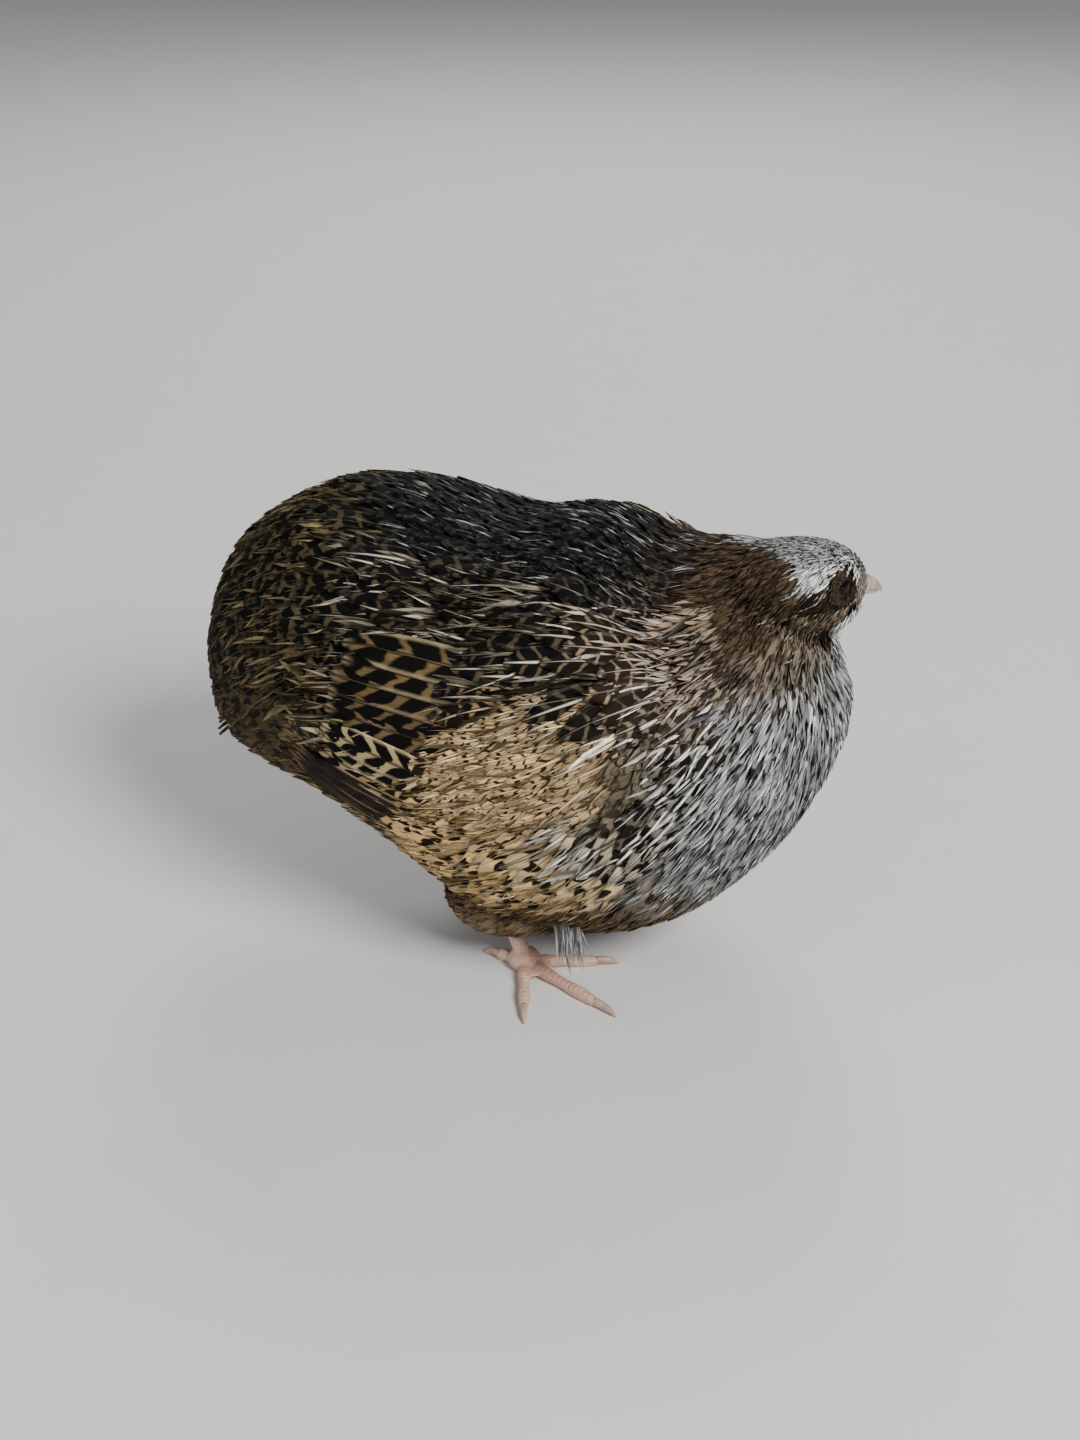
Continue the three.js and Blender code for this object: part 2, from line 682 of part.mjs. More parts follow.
for (const [name, foot] of Object.entries(FEET)) {
  torso = torso.subtract(thighSolid(foot, GAP));
  const side = foot.side;
  torso = torso.subtract(wingShell(side, GAP));
  const thigh = thighSolid(foot);
  const pad = padSolid(foot);
  const grownPad = padSolid(foot, GAP);
  const shank = joined([shankSolid(foot), pad]).intersect(aboveFloor);
  const vanes = joined(wingVanes(side)).subtract(grownTrunk);
  addNode(`wing_${name}`, wingShell(side).add(vanes), COLOURS.wing);
  addNode(`thigh_${name}`, thigh, COLOURS.breast);
  addNode(`tarsus_${name}`, shank.subtract(thighSolid(foot, GAP)), COLOURS.shank, 0.6);
  for (const toe of TOES) {
    const digit = toeSolid(foot, toe).intersect(aboveFloor).subtract(grownPad);
    const claw = clawSolid(foot, toe).intersect(aboveFloor);
    addNode(`toe_${toe.name}_${name}`, digit, COLOURS.shank, 0.6);
    addNode(`claw_${toe.name}_${name}`, claw, COLOURS.claw, 0.5);
  }
  addNode(`eye_${name}`, eyeBall(side), COLOURS.eye, 0.1);
}

addNode('torso', torso, COLOURS.back);
addNode('neck', neck, COLOURS.neck);
addNode('head', skull, COLOURS.head);
addNode('tail', tail, COLOURS.rump);
addNode('bill_upper', upperBill, COLOURS.bill, 0.45);
addNode('bill_lower', lowerBill, COLOURS.bill, 0.45);

const box = new THREE.Box3().setFromObject(bird);
const middle = box.getCenter(vector(0, 0, 0));
bird.position.set(-middle.x, -middle.y, 0);

export default bird;
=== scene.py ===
"""A coturnix quail hen, standing still and fluffed up: the looks of the model.

Sizes and places are in millimetres of the bird's own frame and are turned into metres last.
"""

import math

import bpy
import numpy as np
from mathutils import Euler, Matrix, Vector
from mathutils.bvhtree import BVHTree


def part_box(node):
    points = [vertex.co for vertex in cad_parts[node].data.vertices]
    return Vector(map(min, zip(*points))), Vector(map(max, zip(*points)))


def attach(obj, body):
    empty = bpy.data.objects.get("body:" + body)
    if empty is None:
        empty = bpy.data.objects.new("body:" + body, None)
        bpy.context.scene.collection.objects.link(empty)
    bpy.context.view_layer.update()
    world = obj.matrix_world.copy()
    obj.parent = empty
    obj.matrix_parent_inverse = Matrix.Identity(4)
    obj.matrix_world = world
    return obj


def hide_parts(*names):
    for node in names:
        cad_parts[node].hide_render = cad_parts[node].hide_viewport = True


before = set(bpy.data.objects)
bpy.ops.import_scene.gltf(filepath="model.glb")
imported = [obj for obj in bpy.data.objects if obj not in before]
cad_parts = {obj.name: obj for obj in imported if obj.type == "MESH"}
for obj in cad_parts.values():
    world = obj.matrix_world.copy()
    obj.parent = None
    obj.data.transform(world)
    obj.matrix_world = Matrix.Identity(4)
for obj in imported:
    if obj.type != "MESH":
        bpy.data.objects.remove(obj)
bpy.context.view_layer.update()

SEED = 20
MM = 0.001
SIDES = {"right": -1, "left": 1}

# Body form: each station is its place along X, the top, the bottom and half the width.
TRUNK_STATIONS = [
    (-76, 72, 41, 13),
    (-68, 83, 37, 18),
    (-59, 91, 33.5, 24),
    (-46, 98, 31, 32),
    (-34, 100, 26.5, 38),
    (-18, 98, 18.5, 43),
    (-4, 95.5, 10, 45),
    (9, 98, 7.5, 45),
    (24, 94.5, 9, 42.5),
    (40, 86, 17.5, 37),
    (52, 80, 30, 29.5),
    (66, 76, 47, 21),
]
TRUNK_REAR, TRUNK_REAR_ROUND = -74, 9
TRUNK_FRONT, TRUNK_FRONT_ROUND = 65.5, 13
TRUNK_RINGS, TRUNK_SIDES = 64, 64

# The folded wing's place on the side: along X, its upper and its lower edge as angles from the back.
WING_EDGE = [
    (-40, 72, 104),
    (-22, 54, 102),
    (-6, 42, 98),
    (12, 36, 93),
    (28, 38, 87),
    (43, 54, 76),
]
# The wing's two ends along X, and how far it stands proud of the trunk.
WING_FRONT, WING_REAR, WING_PROUD = 46, -46, 3.6

HEAD_MIDDLE = np.array([53.3, 4, 88.3])
HEAD_TURN, HEAD_TIP, HEAD_ROLL, HEAD_DROP = 50, -9, -4, 0.6
HEAD_RINGS, HEAD_SIDES = 44, 64
# How far out the sides of the head begin, and the parts of them round the eyes.
SIDE_OF_HEAD, SIDE_BY_EYE = 4, 5
# Each station is its place along the head, then up, down and half the width.
HEAD_STATIONS = [
    (-15, 2.5, 4, 3),
    (-12, 5, 8, 7.5),
    (-7, 6.8, 10.5, 10.4),
    (-1, 7.7, 11.4, 11.4),
    (5, 7.6, 10.8, 10.6),
    (9.5, 6.8, 9.4, 8.7),
    (12.5, 5.3, 7.9, 6.5),
    (15, 3.6, 6, 4.3),
]
# Each ring of the neck: its place and its radius.
NECK_STATIONS = [
    (32, 0, 66, 28),
    (41, 0.8, 74, 25),
    (50, 2.2, 79, 19.8),
    (53, 3.4, 84, 13.5),
]
# The neck is drawn out in short steps, then each ring goes to its place and leans forward.
NECK_LEAN, NECK_RINGS, NECK_SIDES, RING_STEP = 40, 10, 40, 0.1
# The forms are fused on a grid of this width and then smoothed.
FORM_VOXEL, FORM_SMOOTHING = 1.0, 8

EYE_PLACE = (2.8, 7.4, 1.3)
EYE_RADIUS = 3
EYE_FACES_FORWARD, EYE_FACES_UP = 11, 8
# The clear front of the eye swells out from this share of the radius on.
CORNEA_FROM, CORNEA_SWELL = 0.7, 0.22
# The lids: half the opening, how far they and their rims stand off the eyeball, how thick they
# are, and how far before the eyeball's middle they begin.
LID_OPENING = (1.9, 1.75)
LID_STAND, LID_RIM_STAND, LID_THICKNESS, LID_BACK = 0.14, 0.16, 0.1, 0.3
# The side of the head dips round the eye and swells over the eyeball.
EYE_DISH, EYE_DISH_REACH, EYE_SWELL = 0.5, (1.8, 5.5), 0.55
# Where the eye's opening shows on the side of the head: how far forward and how high.
EYE_SHOWN = (3.4, 1.7)

BILL_START, BILL_ROOT, BILL_LENGTH = 13.2, 2.5, 10
BILL_HALF_WIDTH, BILL_UPPER_HEIGHT, BILL_LOWER_HEIGHT = 3, 3.1, 1.9
BILL_LINE, BILL_BEND, BILL_HOOK, BILL_RIDGE, BILL_LOWER_REACH = -2.6, 1.4, 0.5, 0.25, 0.88
NOSTRIL = {"radius": 0.5, "stretch": (2.2, 1.2, 0.62), "at": (3.6, 2.15, 1.5)}

THIGH = {"radii": (16, 11, 12), "slope": -20, "forward": -2.5, "out": 18.5, "up": 20.5}
SHANK_LENGTH, SHANK_BURIED = 20.3, 3
SHANK_RADII = [1.9, 1.45, 1.4, 1.5, 1.9]
FOOT_PAD, PAD_FLATNESS, TOE_START, FLOOR_SINK = 3.5, 0.74, 0.4, 0.3
TOE_RADIUS, TOE_TAPER, TOE_KNUCKLES, TOE_RISE = 1.36, 0.14, 0.12, 0.4
CLAW_RADII = [1.05, 0.86, 0.5, 0.16]
CLAW_BURIED, CLAW_ARCH, CLAW_DROP = 0.6, 0.35, 0.75
WEB = {"up": 1.5, "forward": 3.6, "radii": (2.6, 2.6, 0.8)}
# The foot is fused on a finer grid.
FOOT_VOXEL, FOOT_SMOOTHING = 0.24, 3
# The scales of toes and shanks: how long each is and how far its edge stands out. They lie on toes
# below one height and on the shank above another.
TOE_SCALE, SHANK_SCALE = (1.25, 0.16), (1.5, 0.17)
TOE_SCALES_BELOW, SHANK_SCALES_ABOVE = 3.4, 5.2
FEET = {
    "right": {"side": -1, "at": (3, -20), "turn": -27, "lean": (-0.46, 0.1, 0.88)},
    "left": {"side": 1, "at": (-3, 17), "turn": 6, "lean": (-0.4, -0.1, 0.9)},
}
TOES = {
    "inner": {"angle": -48, "length": 14.5, "claw": 4.5},
    "middle": {"angle": 0, "length": 20, "claw": 5.5},
    "outer": {"angle": 45, "length": 15.5, "claw": 4.5},
    "hind": {"angle": 168, "length": 5.5, "claw": 3.5},
}

# The camera stands to the right of the breast and looks down on the bird.
CAMERA_AT = (120.94, -372.21, 244.95)
CAMERA_DOWN, CAMERA_ROUND = 63.5, 18
CAMERA_LENS, CAMERA_SENSOR = 51, 36


# Frames and curves

def unit(vectors):
    return vectors / np.maximum(np.linalg.norm(vectors, axis=-1, keepdims=True), 1e-9)


head_turn = (
    Matrix.Rotation(math.radians(HEAD_TURN), 3, "Z")
    @ Matrix.Rotation(math.radians(-HEAD_TIP), 3, "Y")
    @ Matrix.Rotation(math.radians(-HEAD_ROLL), 3, "X")
)
HEAD_AXES = np.array(head_turn).T


def in_head(forward, left, up):
    """A place of the head, from its middle, as a place of the bird."""
    return HEAD_MIDDLE + np.array([forward, left, up]) @ HEAD_AXES


def head_places(points):
    """Places of the bird as places along, left and above the middle of the head."""
    return (points - HEAD_MIDDLE) @ HEAD_AXES.T


eye_low, eye_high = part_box("eye_right")
SHIFT = np.array((eye_low + eye_high) / 2) / MM - in_head(EYE_PLACE[0], -EYE_PLACE[1], EYE_PLACE[2])


def between(stations, x, column):
    """A smooth curve through one column of the stations, for an array of places."""
    table = np.array(stations, float)
    places, values = table[:, 0], table[:, column]
    slopes = np.gradient(values, places)
    x = np.clip(x, places[0], places[-1])
    i = np.clip(np.searchsorted(places, x, side="right") - 1, 0, len(places) - 2)
    step = places[i + 1] - places[i]
    t = (x - places[i]) / step
    h = t * t * (3 - 2 * t)
    bend = t * (1 - t) ** 2 * step * slopes[i] + t * t * (t - 1) * step * slopes[i + 1]
    return values[i] * (1 - h) + values[i + 1] * h + bend


def smooth(value, low, high):
    """0 below low and 1 above high, smooth between them."""
    t = np.clip((value - low) / (high - low), 0, 1)
    return t * t * (3 - 2 * t)


def section(x):
    """The trunk's middle height, half height and half width at each X."""
    top, bottom, half = (between(TRUNK_STATIONS, x, column) for column in (1, 2, 3))
    front = (x - (TRUNK_FRONT - TRUNK_FRONT_ROUND)) / TRUNK_FRONT_ROUND
    rear = (TRUNK_REAR + TRUNK_REAR_ROUND - x) / TRUNK_REAR_ROUND
    end = np.clip(np.maximum(front, rear), 0, 0.995)
    closing = np.sqrt(1 - end * end)
    return (top + bottom) / 2, (top - bottom) / 2 * closing, half * closing


def angle_round(points):
    """How far round the trunk each place is: 0 on the back, 180 on the belly."""
    middle, height, half = section(points[:, 0])
    return np.degrees(np.arctan2(np.abs(points[:, 1]) / half, (points[:, 2] - middle) / height))


def on_trunk(x, angle, side):
    """The place on the trunk at each X and angle from the back."""
    middle, height, half = section(np.asarray(x, float))
    a = np.radians(angle)
    return np.stack([x + 0 * a, side * half * np.sin(a), middle + height * np.cos(a)], axis=-1)


def wing_cover(x, angle):
    """1 on the folded wing, falling to 0 over its edges."""
    upper, lower = between(WING_EDGE, x, 1), between(WING_EDGE, x, 2)
    inside = smooth(angle, upper - 4, upper + 9) * smooth(-angle, -lower - 5, -lower + 6)
    return inside * smooth(x, WING_REAR, WING_REAR + 12) * smooth(-x, -WING_FRONT, 10 - WING_FRONT)


# Modelling by hand

def deselect():
    if bpy.context.mode != "OBJECT":
        bpy.ops.object.mode_set(mode="OBJECT")
    bpy.ops.object.select_all(action="DESELECT")


def pick(*objects):
    deselect()
    for item in objects:
        item.select_set(True)
    bpy.context.view_layer.objects.active = objects[0]


def settle(item):
    """The object goes to the origin, unturned and unscaled, with its place in its mesh."""
    pick(item)
    bpy.ops.object.transform_apply(location=True, rotation=True, scale=True)
    return item


def to_metres(item):
    item.data.transform(Matrix.Scale(MM, 4) @ Matrix.Translation(Vector(SHIFT)))


def apply_modifier(item, kind, **settings):
    modifier = item.modifiers.new(kind.lower(), kind)
    for name, value in settings.items():
        setattr(modifier, name, value)
    pick(item)
    bpy.ops.object.modifier_apply(modifier=modifier.name)


def sphere(segments, rings, radius, place=(0, 0, 0), turn=(0, 0, 0), stretch=(1, 1, 1)):
    """A sphere, stretched, turned and moved."""
    deselect()
    bpy.ops.mesh.primitive_uv_sphere_add(
        segments=segments, ring_count=rings, radius=radius, location=place, rotation=turn
    )
    item = bpy.context.object
    item.scale = stretch
    return settle(item)


def joined(name, pieces):
    pick(*pieces)
    bpy.ops.object.join()
    item = bpy.context.object
    item.name = item.data.name = name
    return item


def fuse(item, grid, rounds):
    """Makes one skin of forms that run into one another, and smooths it."""
    apply_modifier(item, "REMESH", mode="VOXEL", voxel_size=grid, adaptivity=0)
    apply_modifier(item, "SMOOTH", factor=0.5, iterations=rounds)


def drawn_out(name, rings, sides):
    """A closed form drawn out of a disc along X.

    A ring is its place X, Y and Z, then its half width and its half height.
    """
    deselect()
    x, y, z, wide, high = rings[0]
    bpy.ops.mesh.primitive_circle_add(
        vertices=sides, radius=1, fill_type="NGON", rotation=(0, math.pi / 2, 0), location=(x, y, z)
    )
    item = bpy.context.object
    item.name = item.data.name = name
    settle(item)
    bpy.ops.object.mode_set(mode="EDIT")
    bpy.ops.mesh.select_all(action="SELECT")
    bpy.ops.transform.resize(value=(1, wide, high), center_override=(x, y, z))
    for last, ring in zip(rings, rings[1:]):
        move = [b - a for a, b in zip(last[:3], ring[:3])]
        bpy.ops.mesh.extrude_region_move(TRANSFORM_OT_translate={"value": move})
        scale = (1, ring[3] / last[3], ring[4] / last[4])
        bpy.ops.transform.resize(value=scale, center_override=ring[:3])
    bpy.ops.mesh.select_all(action="SELECT")
    bpy.ops.mesh.normals_make_consistent(inside=False)
    bpy.ops.object.mode_set(mode="OBJECT")
    return item


def places_of(item):
    places = np.empty(len(item.data.vertices) * 3)
    item.data.vertices.foreach_get("co", places)
    return places.reshape(-1, 3)


def normals_of(item):
    normals = np.empty(len(item.data.vertices) * 3)
    item.data.vertex_normals.foreach_get("vector", normals)
    return normals.reshape(-1, 3)


def set_places(item, places):
    item.data.vertices.foreach_set("co", np.asarray(places, float).ravel())
    item.data.update()


def finished(item, material, slot, *replaced):
    """The piece gets its finish, rides on the bird and stands for the solids it replaces."""
    item.data.materials.clear()
    item.data.materials.append(material)
    item.data.shade_smooth()
    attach(item, "root")
    if replaced:
        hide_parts(*replaced)


# The form that the tips of the plumage follow

def trunk_form():
    """The trunk, with its rings closer together at its ends, and the folded wings on its sides."""
    share = np.cos(np.pi * (np.arange(TRUNK_RINGS) + 0.5) / TRUNK_RINGS)
    x = (TRUNK_REAR + TRUNK_FRONT) / 2 - share * (TRUNK_FRONT - TRUNK_REAR) / 2
    middle, height, half = section(x)
    rings = [(x[i], 0, middle[i], half[i], height[i]) for i in range(TRUNK_RINGS)]
    trunk = drawn_out("trunk", rings, TRUNK_SIDES)
    places = places_of(trunk)
    cover = wing_cover(places[:, 0], angle_round(places))
    middle, height, half = section(places[:, 0])
    out = np.stack([0 * middle, places[:, 1] / half, (places[:, 2] - middle) / height], axis=1)
    set_places(trunk, places + out * (cover * WING_PROUD)[:, None])
    return trunk


def head_form():
    """The head, deeper below than above, with a dip round each eye and a swelling over it."""
    along = np.linspace(HEAD_STATIONS[0][0], HEAD_STATIONS[-1][0], HEAD_RINGS)
    up, down, half = (between(HEAD_STATIONS, along, column) for column in (1, 2, 3))
    head = drawn_out("head_form", [(f, 0, 0, w, h) for f, w, h in zip(along, half, up)], HEAD_SIDES)
    places = places_of(head)
    i = np.argmin(np.abs(places[:, 0][:, None] - along[None, :]), axis=1)
    below = places[:, 2] < 0
    places[below, 2] *= (down / up)[i[below]]
    places[:, 2] -= HEAD_DROP
    from_eye = np.hypot(places[:, 0] - EYE_SHOWN[0], places[:, 2] - EYE_SHOWN[1])
    dish = EYE_DISH * (1 - smooth(from_eye, *EYE_DISH_REACH)) * smooth(np.abs(places[:, 1]), SIDE_OF_HEAD, 8)
    away = np.hypot(places[:, 0] - EYE_PLACE[0], places[:, 2] - EYE_PLACE[2])
    over_eye = EYE_PLACE[1] + np.sqrt(np.maximum((EYE_RADIUS + EYE_SWELL) ** 2 - away**2, 0))
    over_eye = np.where(np.abs(places[:, 1]) > SIDE_OF_HEAD, over_eye * (away < EYE_RADIUS), 0)
    places[:, 1] = np.sign(places[:, 1]) * np.maximum(np.abs(places[:, 1]) - dish, over_eye)
    set_places(head, HEAD_MIDDLE + places @ HEAD_AXES)
    return head


def neck_form():
    """The thick, drawn-in neck."""
    table = np.array(NECK_STATIONS, float)
    steps = np.linspace(0, len(table) - 1, NECK_RINGS)
    x, y, z, radius = (np.interp(steps, range(len(table)), table[:, column]) for column in range(4))
    neck = drawn_out("neck_form", [(RING_STEP * i, 0, 0, r, r) for i, r in enumerate(radius)], NECK_SIDES)
    places = places_of(neck)
    i = np.clip(np.round(places[:, 0] / RING_STEP).astype(int), 0, NECK_RINGS - 1)
    flat = np.stack([0 * i, places[:, 1], places[:, 2]], axis=1)
    tilt = np.array(Matrix.Rotation(math.radians(-NECK_LEAN), 3, "Y"))
    set_places(neck, flat @ tilt.T + np.stack([x[i], y[i], z[i]], axis=1))
    return neck


def thigh_form(foot):
    place = (foot["at"][0] + THIGH["forward"], foot["side"] * THIGH["out"], THIGH["up"])
    return sphere(32, 20, 1, place, (0, math.radians(THIGH["slope"]), 0), THIGH["radii"])


def whole_form(name):
    """All the forms fused into one."""
    pieces = [trunk_form(), neck_form(), head_form()] + [thigh_form(foot) for foot in FEET.values()]
    for piece in pieces:
        apply_modifier(piece, "TRIANGULATE")
    form = joined(name, pieces)
    fuse(form, FORM_VOXEL, FORM_SMOOTHING)
    return form


body = whole_form("skin")
form_places = places_of(body)
body.data.calc_loop_triangles()
form_faces = np.empty(len(body.data.loop_triangles) * 3, int)
body.data.loop_triangles.foreach_get("vertices", form_faces)
form_faces = form_faces.reshape(-1, 3)
form_tree = BVHTree.FromPolygons([Vector(p) for p in form_places], form_faces.tolist())


# Plumage: what the feathers look like in each part of the body

def paint(*channels):
    """A colour as seen, each channel from 0 to 255, as light."""
    return tuple((channel / 255) ** 2.2 for channel in channels)


# What each kind of feather says, line by line as below: its length and width, how far apart the
# feathers stand, how deep the root is, how high the tip stands and how pointed it is; its colours;
# the half width of the pale shaft streak and the share of feathers that have one, how much of it is
# dark, how many dark bars it has and how pale its fringe is; and the loose strands over it, their
# length and width, how far apart they stand and the share of dark ones.
KIND_KEYS = (
    "size", "apart", "depth", "rise", "pointed",
    "ground", "dark", "light",
    "streak", "streaked", "cover", "bars", "fringe",
    "strand", "strands_apart", "dark_strands",
)
COLOURS = ("ground", "dark", "light")
KIND_ROWS = {
    "mantle": (
        (12, 4.4), 2.3, 2.2, 0.5, 0.35,
        (45, 43, 40), (5, 4, 4), (214, 210, 202),
        0.07, 0.6, 0.84, 4.0, 0.1,
        (10, 0.55), 1.5, 0.5,
    ),
    "scapular": (
        (20, 7.5), 4.0, 2.4, 0.9, 0.3,
        (70, 62, 46), (5, 4, 3), (236, 222, 194),
        0.12, 0.85, 0.8, 5.0, 0.08,
        (20, 1.3), 1.9, 0.45,
    ),
    "covert": (
        (16, 3.0), 1.95, 2.0, 0.35, 0.4,
        (198, 165, 118), (44, 31, 19), (240, 216, 172),
        0.2, 1, 0.1, 6.0, 0.2,
        (20, 1.2), 1.05, 0.5,
    ),
    "bend": (
        (8.5, 2.8), 1.7, 1.8, 0.25, 0.25,
        (96, 87, 70), (72, 63, 49), (122, 112, 92),
        0.03, 0.3, 0.1, 2.5, 0.15,
        (9, 0.6), 1.15, 0.5,
    ),
    "wing": (
        (18, 6.6), 3.3, 2.2, 0.6, 0.3,
        (98, 83, 56), (10, 7, 5), (238, 220, 180),
        0.08, 0.7, 0.74, 4.6, 0.2,
        (17, 1.15), 1.9, 0.4,
    ),
    "rump": (
        (18, 7.6), 3.7, 2.4, 0.7, 0.4,
        (94, 81, 56), (8, 6, 4), (212, 188, 140),
        0.07, 0.7, 0.72, 4.4, 0.2,
        (17, 1.15), 1.8, 0.35,
    ),
    "vent": (
        (18, 5.8), 3.0, 2.8, 1.0, 0.5,
        (92, 76, 50), (46, 34, 20), (160, 138, 98),
        0.06, 0.6, 0.35, 2.2, 0.3,
        (14, 0.7), 2.6, 0.25,
    ),
    "flank": (
        (19, 7), 3.0, 2.6, 0.5, 0.4,
        (232, 192, 130), (30, 20, 12), (248, 228, 188),
        0.1, 0.6, 0.27, 2.6, 0.25,
        (17, 1.0), 1.55, 0.3,
    ),
    "belly": (
        (16, 4.4), 2.4, 2.8, 0.8, 0.6,
        (94, 76, 50), (44, 32, 19), (172, 152, 120),
        0.08, 0.6, 0.25, 1.4, 0.4,
        (15, 0.65), 1.4, 0.3,
    ),
    "side": (
        (14, 4.6), 2.3, 2.6, 0.8, 0.6,
        (186, 172, 144), (34, 29, 24), (242, 240, 234),
        0.2, 0.85, 0.4, 2.0, 0.3,
        (15, 0.8), 1.6, 0.3,
    ),
    "shoulder": (
        (15, 5.6), 2.9, 2.5, 0.7, 0.45,
        (106, 99, 86), (10, 8, 7), (248, 245, 238),
        0.2, 0.8, 0.66, 3.2, 0.15,
        (15, 1.15), 1.4, 0.3,
    ),
    "breast": (
        (11, 2.3), 1.5, 2.6, 0.8, 0.7,
        (134, 134, 132), (34, 31, 29), (246, 247, 248),
        0.2, 0.8, 0.22, 1.4, 0.4,
        (16, 0.85), 1.2, 0.3,
    ),
    "collar": (
        (8.5, 1.6), 1.08, 2.2, 0.8, 0.65,
        (124, 111, 95), (70, 60, 50), (180, 174, 162),
        0.12, 0.6, 0.35, 0.7, 0.3,
        (10, 0.48), 0.88, 0.35,
    ),
    "nape": (
        (7.5, 1.4), 0.98, 1.9, 0.4, 0.6,
        (84, 69, 53), (44, 35, 25), (130, 112, 90),
        0.08, 0.5, 0.42, 0.7, 0.3,
        (8.5, 0.42), 0.8, 0.5,
    ),
    "hackle": (
        (9, 2.2), 1.4, 2.1, 0.7, 0.65,
        (168, 145, 122), (44, 34, 26), (252, 238, 226),
        0.16, 0.55, 0.38, 1.0, 0.25,
        (13, 1.3), 1.15, 0.28,
    ),
    "crown": (
        (5.2, 0.95), 0.56, 1.0, 0.3, 0.5,
        (158, 160, 158), (58, 56, 51), (236, 238, 238),
        0.25, 0.6, 0.4, 1.6, 0.5,
        (6, 0.3), 0.56, 0.45,
    ),
    "brow": (
        (6, 1.0), 0.6, 1.0, 0.45, 0.75,
        (180, 179, 174), (30, 25, 20), (250, 250, 248),
        0.5, 0.85, 0.3, 0.7, 0.2,
        (8, 0.42), 0.62, 0.4,
    ),
    "ear": (
        (4.6, 0.95), 0.56, 1.0, 0.35, 0.6,
        (58, 45, 31), (26, 19, 12), (120, 102, 76),
        0.06, 0.4, 0.5, 1.0, 0.2,
        (6, 0.36), 0.56, 0.65,
    ),
    "cheek": (
        (4.6, 0.95), 0.56, 1.0, 0.35, 0.65,
        (128, 112, 92), (52, 42, 31), (196, 184, 164),
        0.18, 0.5, 0.35, 1.0, 0.3,
        (6, 0.42), 0.56, 0.4,
    ),
    "ring": (
        (2.0, 0.7), 0.42, 0.7, 0.3, 0.5,
        (76, 61, 47), (44, 34, 26), (126, 110, 92),
        0.1, 0.3, 0.3, 1.0, 0.3,
        (2.6, 0.26), 0.6, 0.5,
    ),
    "lore": (
        (2.2, 0.75), 0.42, 0.7, 0.2, 0.5,
        (170, 154, 140), (100, 84, 70), (212, 202, 192),
        0.15, 0.4, 0.2, 1.0, 0.3,
        (3, 0.28), 0.62, 0.35,
    ),
    "gape": (
        (2.2, 0.75), 0.42, 0.7, 0.2, 0.5,
        (44, 36, 29), (20, 16, 13), (74, 62, 52),
        0.1, 0.3, 0.4, 1.0, 0.2,
        (2.6, 0.26), 0.9, 0.7,
    ),
    "malar": (
        (4.6, 1.0), 0.58, 1.0, 0.35, 0.5,
        (66, 57, 46), (28, 23, 18), (124, 112, 96),
        0.05, 0.3, 0.5, 1.0, 0.2,
        (6, 0.4), 0.56, 0.6,
    ),
    "throat": (
        (5, 1.1), 0.6, 1.0, 1.1, 0.6,
        (240, 239, 235), (176, 168, 156), (250, 250, 248),
        0.2, 0.6, 0.1, 1.0, 0.6,
        (6.5, 0.42), 0.48, 0.05,
    ),
    "thigh": (
        (9, 3.6), 1.8, 1.6, 0.5, 0.6,
        (128, 110, 84), (84, 68, 48), (172, 158, 130),
        0.06, 0.4, 0.2, 1.0, 0.4,
        (8, 0.7), 2.2, 0.3,
    ),
    "primary": (
        (36, 6.4), 4, 1.4, 1.7, 0.5,
        (40, 28, 18), (14, 9, 6), (150, 126, 92),
        0.025, 1, 0.3, 6.0, 0.9,
        (9, 0.8), 9, 0.5,
    ),
    "ladder": (
        (30, 8), 4, 1.4, 2.1, 0.25,
        (164, 146, 108), (12, 8, 5), (214, 198, 158),
        0.035, 1, 0.66, 6.0, 0.4,
        (9, 0.8), 9, 0.5,
    ),
    "tertial": (
        (32, 10), 4, 1.4, 2.4, 0.25,
        (96, 80, 54), (12, 8, 5), (218, 198, 156),
        0.06, 1, 0.74, 5.0, 0.3,
        (9, 0.8), 9, 0.5,
    ),
}
KINDS = {name: dict(zip(KIND_KEYS, row)) for name, row in KIND_ROWS.items()}
for values in KINDS.values():
    values.update({key: paint(*values[key]) for key in COLOURS})
KIND_NAMES = list(KINDS)

# Where each kind grows on the body: its middle along X and as an angle from the back, and its reach.
BODY_MAP = [
    ("mantle", 25, 26, 6, 26),
    ("mantle", -14, 20, 4, 26),
    ("scapular", 22, 24, 48, 13),
    ("scapular", -10, 26, 46, 18),
    ("covert", 10, 21, 76, 14),
    ("bend", 33, 8, 77, 11),
    ("wing", -20, 14, 74, 16),
    ("rump", -50, 22, 20, 60),
    ("vent", -52, 22, 132, 34),
    ("flank", 0, 27, 111, 14),
    ("side", 30, 12, 98, 11),
    ("shoulder", 42, 9, 64, 15),
    ("shoulder", 40, 9, 87, 12),
    ("belly", -6, 34, 152, 24),
    ("belly", 26, 20, 134, 18),
    ("breast", 58, 20, 96, 60),
]
# Where each kind grows on the head: as an angle from the bill round to the nape, and as one above
# the middle.
HEAD_MAP = [
    ("crown", 60, 70, 70, 22),
    ("crown", 8, 26, 42, 20),
    ("crown", 150, 40, 50, 18),
    ("brow", 55, 32, 36, 9),
    ("brow", 110, 30, 27, 10),
    ("ear", 112, 28, 4, 11),
    ("lore", 26, 22, 4, 14),
    ("cheek", 84, 24, -20, 11),
    ("malar", 54, 15, -46, 11),
    ("throat", 14, 34, -40, 28),
    ("cheek", 124, 26, -32, 20),
    ("nape", 172, 34, 18, 32),
]
# How much the borders between kinds waver.
WAVER = 0.5
